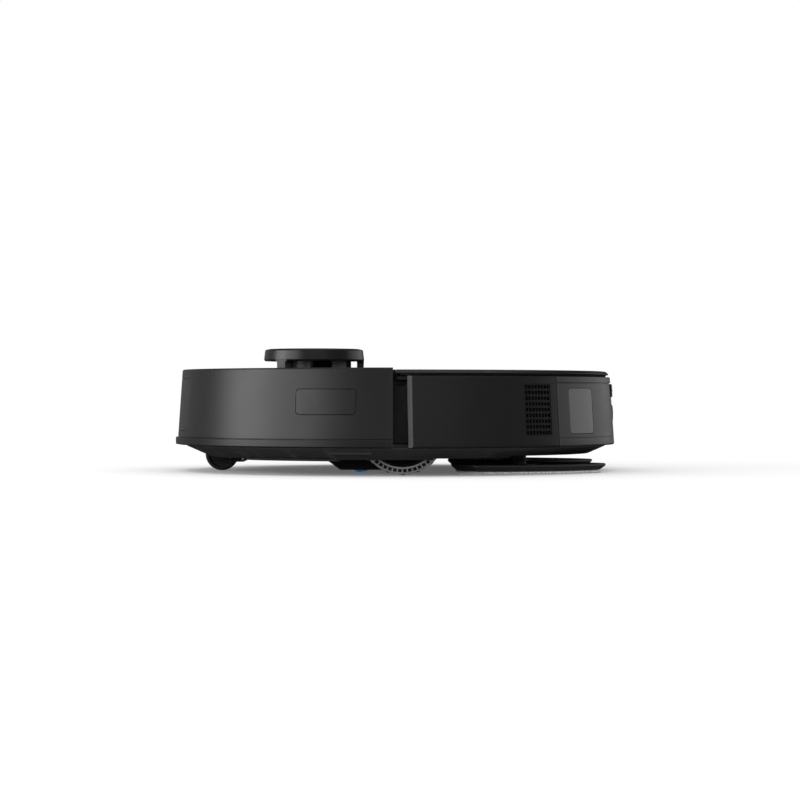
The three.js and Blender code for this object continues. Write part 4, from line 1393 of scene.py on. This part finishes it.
def make_mops():
    plate = swept("mop_plate", [
        (0.0, 5.4), (0.2, 5.4), (0.5, 5.55), (0.72, 5.9), (0.86, 6.4), (0.905, 6.75), (0.912, 6.5),
        (0.925, 6.5), (0.932, 6.9), (0.965, 7.3), (0.99, 7.4), (1.008, 7.2), (1.016, 6.8),
        (1.016, 5.7), (1.008, 5.2), (0.99, 4.4), (0.97, 3.4), (0.952, 2.6), (0.94, 2.3),
        (0.92, 2.2), (0.8, 2.2), (0.0, 2.2),
    ])
    hub = lathe("hub", [
        (0.0, 4.6, 0.0), (8.6, 4.6, 0.0), (8.6, 6.0, 0.5), (6.3, 6.4, 0.4), (6.3, 9.2, 0.3),
        (6.05, 9.5, 0.1), (6.3, 9.8, 0.1), (6.3, mop_high.z, 0.6), (0.0, mop_high.z, 0.0),
    ], steps=72, centre=MOP_CENTRE)
    fuse(plate, hub)
    ribs = []
    for k in range(6):
        turn = spun(30 + 60 * k, MOP_CENTRE)
        ribs.append(boxes("rib", [((8.0, -0.8, 5.0), (36.0, 0.8, 6.1))], turn))
    fuse(plate, merge(*ribs))
    smooth(plate)
    place_both(plate, MOPS, mop_plastic, "black_plastic", "mop_disc")

    low = pad_low.z
    pad = swept("mop_pad_cloth", [
        (0.0, low), (0.55, low), (0.85, low + 0.05), (0.91, low + 0.2), (0.94, low + 0.6),
        (0.945, low + 1.3), (0.93, low + 1.85), (0.0, low + 1.85),
    ], 0.004)
    smooth(pad)
    random.seed(11)
    lines = []
    outline = mop_outline(720)
    for x, y in outline:
        for _ in range(2):
            t = random.uniform(0.9, 0.94)
            z = low + random.uniform(0.1, 1.3)
            start = (MOP_CENTRE[0] + x * t, MOP_CENTRE[1] + y * t, z)
            reach = t + random.uniform(0.006, 0.02)
            swing = random.uniform(-0.02, 0.02)
            end = (MOP_CENTRE[0] + x * reach - y * swing, MOP_CENTRE[1] + y * reach + x * swing,
                   max(0.25, z - random.uniform(0.0, 0.5)))
            lines.append((start, end))
    fringe = strands("mop_pad_fringe", lines, 0.3, 0.12)
    merge(pad, fringe)
    right = mirrored(pad, "mop_pad_cloth_right")
    place(pad, "left_mop", microfibre, "microfibre", "mop_pad_left")
    place(right, "right_mop", microfibre, "microfibre", "mop_pad_right")


dark_bristle = bristle_nylon("dark_bristle", (0.03, 0.03, 0.032), (0.12, 0.12, 0.125))
rubber_blue = soft_rubber("blue_rubber", (0.012, 0.06, 0.22), 0.6)
mop_plastic = moulded_plastic("mop_plastic", (0.022, 0.022, 0.023), 0.5, 0.15)

random.seed(4)
make_belly()
make_side_bars()
make_roller()
make_roller_guard()
make_side_brush()
make_mops()


# ---------- frame parts seen in the gap and under the cover ----------

WELL_FLOOR_Z = 34.2
PLATE_LOW_Z, PLATE_HIGH_Z = 70.8, 73.6
FRAME_SCREWS = ((-120, 100), (120, 100), (-66, 124), (66, 124), (-140, 16), (140, 16))


def make_mid_frame():
    start = box_mm("mid_frame")[0].y
    low, high = PLATE_LOW_Z, PLATE_HIGH_Z
    frame_plate = lathe("mid_plate", [
        (0.0, low, 0.0), (167.4, low, 0.4), (167.4, high, 0.5), (158.0, high, 0.0),
        (158.0, 75.2, 0.4), (152.0, 75.2, 0.4), (152.0, high, 0.0), (0.0, high, 0.0),
    ], steps=240)
    keep(frame_plate, behind(start))
    cut(frame_plate, slab_over("tool", box_mm("dust_bin"), -2, 1.0, 60, 90))
    for tray in ((60.0, 128.0), (-128.0, -60.0)):
        cut(frame_plate, slab("tool", *tray, 22.0, 88.0, 5.0, 72.6, 90))
    flange = boxes("flange", [((-158.0, FLANGE_START_Y, 70.2), (158.0, start + 1.0, 75.4))])
    fuse(frame_plate, flange)
    soften(frame_plate, 0.2)
    place(frame_plate, "body", black_plastic, "inner_plastic", "mid_frame")
    lip = slab("bin_lip", -49.5, 49.5, 8.5, 105.5, 4.0, 73.5, 74.7)
    cut(lip, slab("tool", -46.6, 46.6, 11.4, 102.6, 2.0, 60, 90))
    soften(lip, 0.3)
    place(lip, "body", rubber, "soft_rubber")
    for k, (x, y) in enumerate(FRAME_SCREWS):
        boss = lathe(f"frame_screw_{k}", [
            (0.0, 73.2, 0.0), (2.8, 73.2, 0.0), (2.8, 74.3, 0.4), (0.0, 74.5, 0.0),
        ], steps=24, centre=(x, y))
        cross_slot(boss, x, y, 73.9, 76, 1.5)
        smooth(boss)
        place(boss, "body", steel, "steel")


def make_bin_well():
    """The walls and floor of the bay that the dust bin drops into."""
    low, high = box_mm("dust_bin")
    x, y0, y1 = high.x + 2.0, low.y - 2.0, high.y + 2.0
    well = slab("bin_well", -x - 1.2, x + 1.2, y0 - 1.2, y1 + 1.2, 2.0, WELL_FLOOR_Z, 70.6)
    cut(well, slab("tool", -x, x, y0, y1, 1.0, WELL_FLOOR_Z + 1.2, 90))
    cut(well, boxes("tool", [((-24.0, y0 - 5.0, 44.0), (24.0, y0 + 5.0, 60.0))]))
    soften(well, 0.2)
    place(well, "body", inner_plastic, "inner_plastic")


def make_side_pillars():
    low, high = box_mm("side_pillar_left")
    pillar = lathe("side_post", [
        (159.5, 24.2, 0.3), (165.0, 24.2, 0.5), (165.0, 66.5, 0.5), (162.0, 66.5, 0.3),
        (162.0, 70.3, 0.3), (159.5, 70.3, 0.3),
    ], -4.0, 5.0, 18)
    keep(pillar, boxes("tool", [((100, low.y, 0), (FAR, high.y, 100))]))
    soften(pillar, 0.2)
    place_both(pillar, BODY, lug_rubber, "black_plastic", "side_pillar")


def make_dust_bin():
    box = box_mm("dust_bin")
    low, high = box
    tub = slab_over("bin_tub", box, 0.0, 5.0, low.z, high.z)
    cut(tub, slab_over("tool", box, 2, 3.5, low.z + 2, 90))
    cut(tub, boxes("tool", [((-24.0, 0.0, 44.0), (24.0, low.y + 3.0, 60.0))]))
    soften(tub, 0.4)
    place(tub, "dust_bin", smoked, "smoked_plastic", "dust_bin")

    box = box_mm("dust_bin_lid")
    lid = slab_over("bin_lid", box, 0.0, 4.0, box[0].z, box[1].z)
    cut(lid, slab("tool", -20.0, 20.0, 22.0, 40.0, 4.0, 72.2, 80))
    soften(lid, 0.5, 3)
    grip = slab("bin_grip", -18.0, 18.0, 29.8, 32.2, 1.0, 72.0, 74.2)
    soften(grip, 0.4)
    merge(lid, grip)
    lid.data.shade_smooth()
    mark_sharp(lid, 38.0)
    place(lid, "dust_bin", black_plastic, "black_plastic", "dust_bin_lid")

    box = box_mm("dust_filter")
    start, end = box
    pleats = 21
    pitch = (end.x - start.x - 4.0) / pleats
    outline = []
    for k in range(pleats + 1):
        x = start.x + 2.0 + pitch * k
        outline.append((x, start.z + 0.3))
        if k < pleats:
            outline.append((x + pitch / 2, end.z - 0.8))
    thick = [(x, z + 0.5) for x, z in reversed(outline)]
    fold = prism("filter_pleats", [*outline, *thick], start.y + 1.6, end.y - 1.6, ALONG_Y)
    rim = slab_over("filter_rim", box, 0.0, 2.0, start.z, end.z)
    cut(rim, slab_over("tool", box, 2, 1.0, 50, 90))
    soften(rim, 0.3)
    smooth(fold)
    place(fold, "dust_bin", fleece, "filter_paper", "dust_filter")
    place(rim, "dust_bin", inner_plastic, "filter_paper")


def finish_inner_parts():
    """Materials for the inner CAD parts that keep their own shape."""
    looks = {
        "cliff_sensor_left": gloss_window, "cliff_sensor_right": gloss_window,
        "wheel_arm_left": inner_plastic, "wheel_arm_right": inner_plastic,
        "drive_motor_left": steel, "drive_motor_right": steel,
        "roller_housing": inner_plastic, "roller_motor": steel, "side_brush_motor": steel,
        "mop_gearbox_left": inner_plastic, "mop_gearbox_right": inner_plastic,
        "battery_pack": battery_wrap, "main_circuit_board": board,
        "fan_housing": inner_plastic, "fan_impeller": black_plastic,
        "water_tank": smoked, "water_pump": inner_plastic,
    }
    for node, material in looks.items():
        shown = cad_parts[node]
        shown.data.materials.clear()
        shown.data.materials.append(material)


make_mid_frame()
make_bin_well()
make_side_pillars()
make_dust_bin()
finish_inner_parts()


# ---------- floor, light and camera ----------

CAMERA_DISTANCE = 2.0
CAMERA_SIDE = 0.0032
CAMERA_HEIGHT = 0.0576
AIM_HEIGHT = 0.056
LENS = 112.5
SENSOR = 36.0
FLOOR_SIZE = 14.0
# Painted light: the floor glows a little right under the robot, which lifts its shadow, and more
# further out, which whitens the floor.
NEAR_GLOW = 0.11
FAR_GLOW = 0.32


def make_floor():
    nodes = Nodes("pale_floor")
    cloudy = nodes.spread(nodes.noise(3.0))
    nodes.feed(nodes.blend(cloudy, (0.79, 0.79, 0.79), (0.81, 0.81, 0.81)), "Base Color")
    distance = nodes.add("ShaderNodeVectorMath", operation="LENGTH")
    nodes.link(nodes.place, distance.inputs[0])
    # Emission that rises with distance from the robot: painted light on the floor.
    glow = nodes.spread(distance.outputs["Value"], NEAR_GLOW, FAR_GLOW, 0.4, 3.0)
    nodes.feed(glow, "Emission Strength")
    white = (1.0, 1.0, 1.0, 1.0)
    nodes.set(Roughness=0.6, Specular_IOR_Level=0.1, Emission_Color=white)
    bm = bmesh.new()
    bmesh.ops.create_grid(bm, x_segments=1, y_segments=1, size=FLOOR_SIZE / 2 / MM)
    floor = new_object("floor", bm)
    floor.data.materials.append(nodes.material)
    floor.visible_glossy = False


def put(thing, location, aim):
    """Links a lamp or the camera to the scene, facing the point that it aims at."""
    bpy.context.scene.collection.objects.link(thing)
    thing.location = location
    thing.rotation_mode = "QUATERNION"
    thing.rotation_quaternion = (Vector(aim) - Vector(location)).to_track_quat("-Z", "Y")


def softbox(name, location, aim, width, height, power):
    light = bpy.data.lights.new(name, "AREA")
    light.shape = "RECTANGLE"
    light.size = width
    light.size_y = height
    light.energy = power
    lamp = bpy.data.objects.new(name, light)
    lamp.visible_camera = False
    put(lamp, location, aim)


def make_world():
    """An even white room that lights the object but isn't mirrored in the glossy plastic."""
    world = bpy.data.worlds.new("studio")
    bpy.context.scene.world = world
    world.use_nodes = True
    background = world.node_tree.nodes["Background"]
    background.inputs["Color"].default_value = (1.0, 1.0, 1.0, 1.0)
    background.inputs["Strength"].default_value = 1.0
    world.cycles_visibility.glossy = False


def make_camera():
    data = bpy.data.cameras.new("camera")
    data.lens = LENS
    data.sensor_width = SENSOR
    camera = bpy.data.objects.new("camera", data)
    put(camera, (CAMERA_DISTANCE, CAMERA_SIDE, CAMERA_HEIGHT), (0.0, CAMERA_SIDE, AIM_HEIGHT))
    data.clip_start, data.clip_end = 0.05, 50.0
    bpy.context.scene.camera = camera


make_floor()
make_world()
softbox("front_softbox", (0.3, -1.7, 0.35), (0.0, -0.1, 0.04), 0.9, 0.8, 12.0)
softbox("front_side_softbox", (1.1, -1.3, 0.35), (0.0, -0.1, 0.04), 0.8, 0.8, 6.0)
softbox("far_front_softbox", (-1.3, -1.1, 0.35), (0.0, -0.1, 0.04), 1.2, 0.8, 0.9)
softbox("rear_softbox", (-0.9, 1.5, 0.35), (0.0, 0.1, 0.04), 2.0, 0.8, 4.5)
softbox("fill_softbox", (2.2, 0.4, 0.9), (0.0, 0.0, 0.04), 2.0, 1.6, 3.0)
softbox("top_softbox", (0.0, 0.0, 2.0), (0.0, 0.0, 0.0), 2.4, 2.4, 10.0)
make_camera()
bpy.context.scene.view_settings.view_transform = "Standard"
bpy.context.scene.view_settings.look = "None"
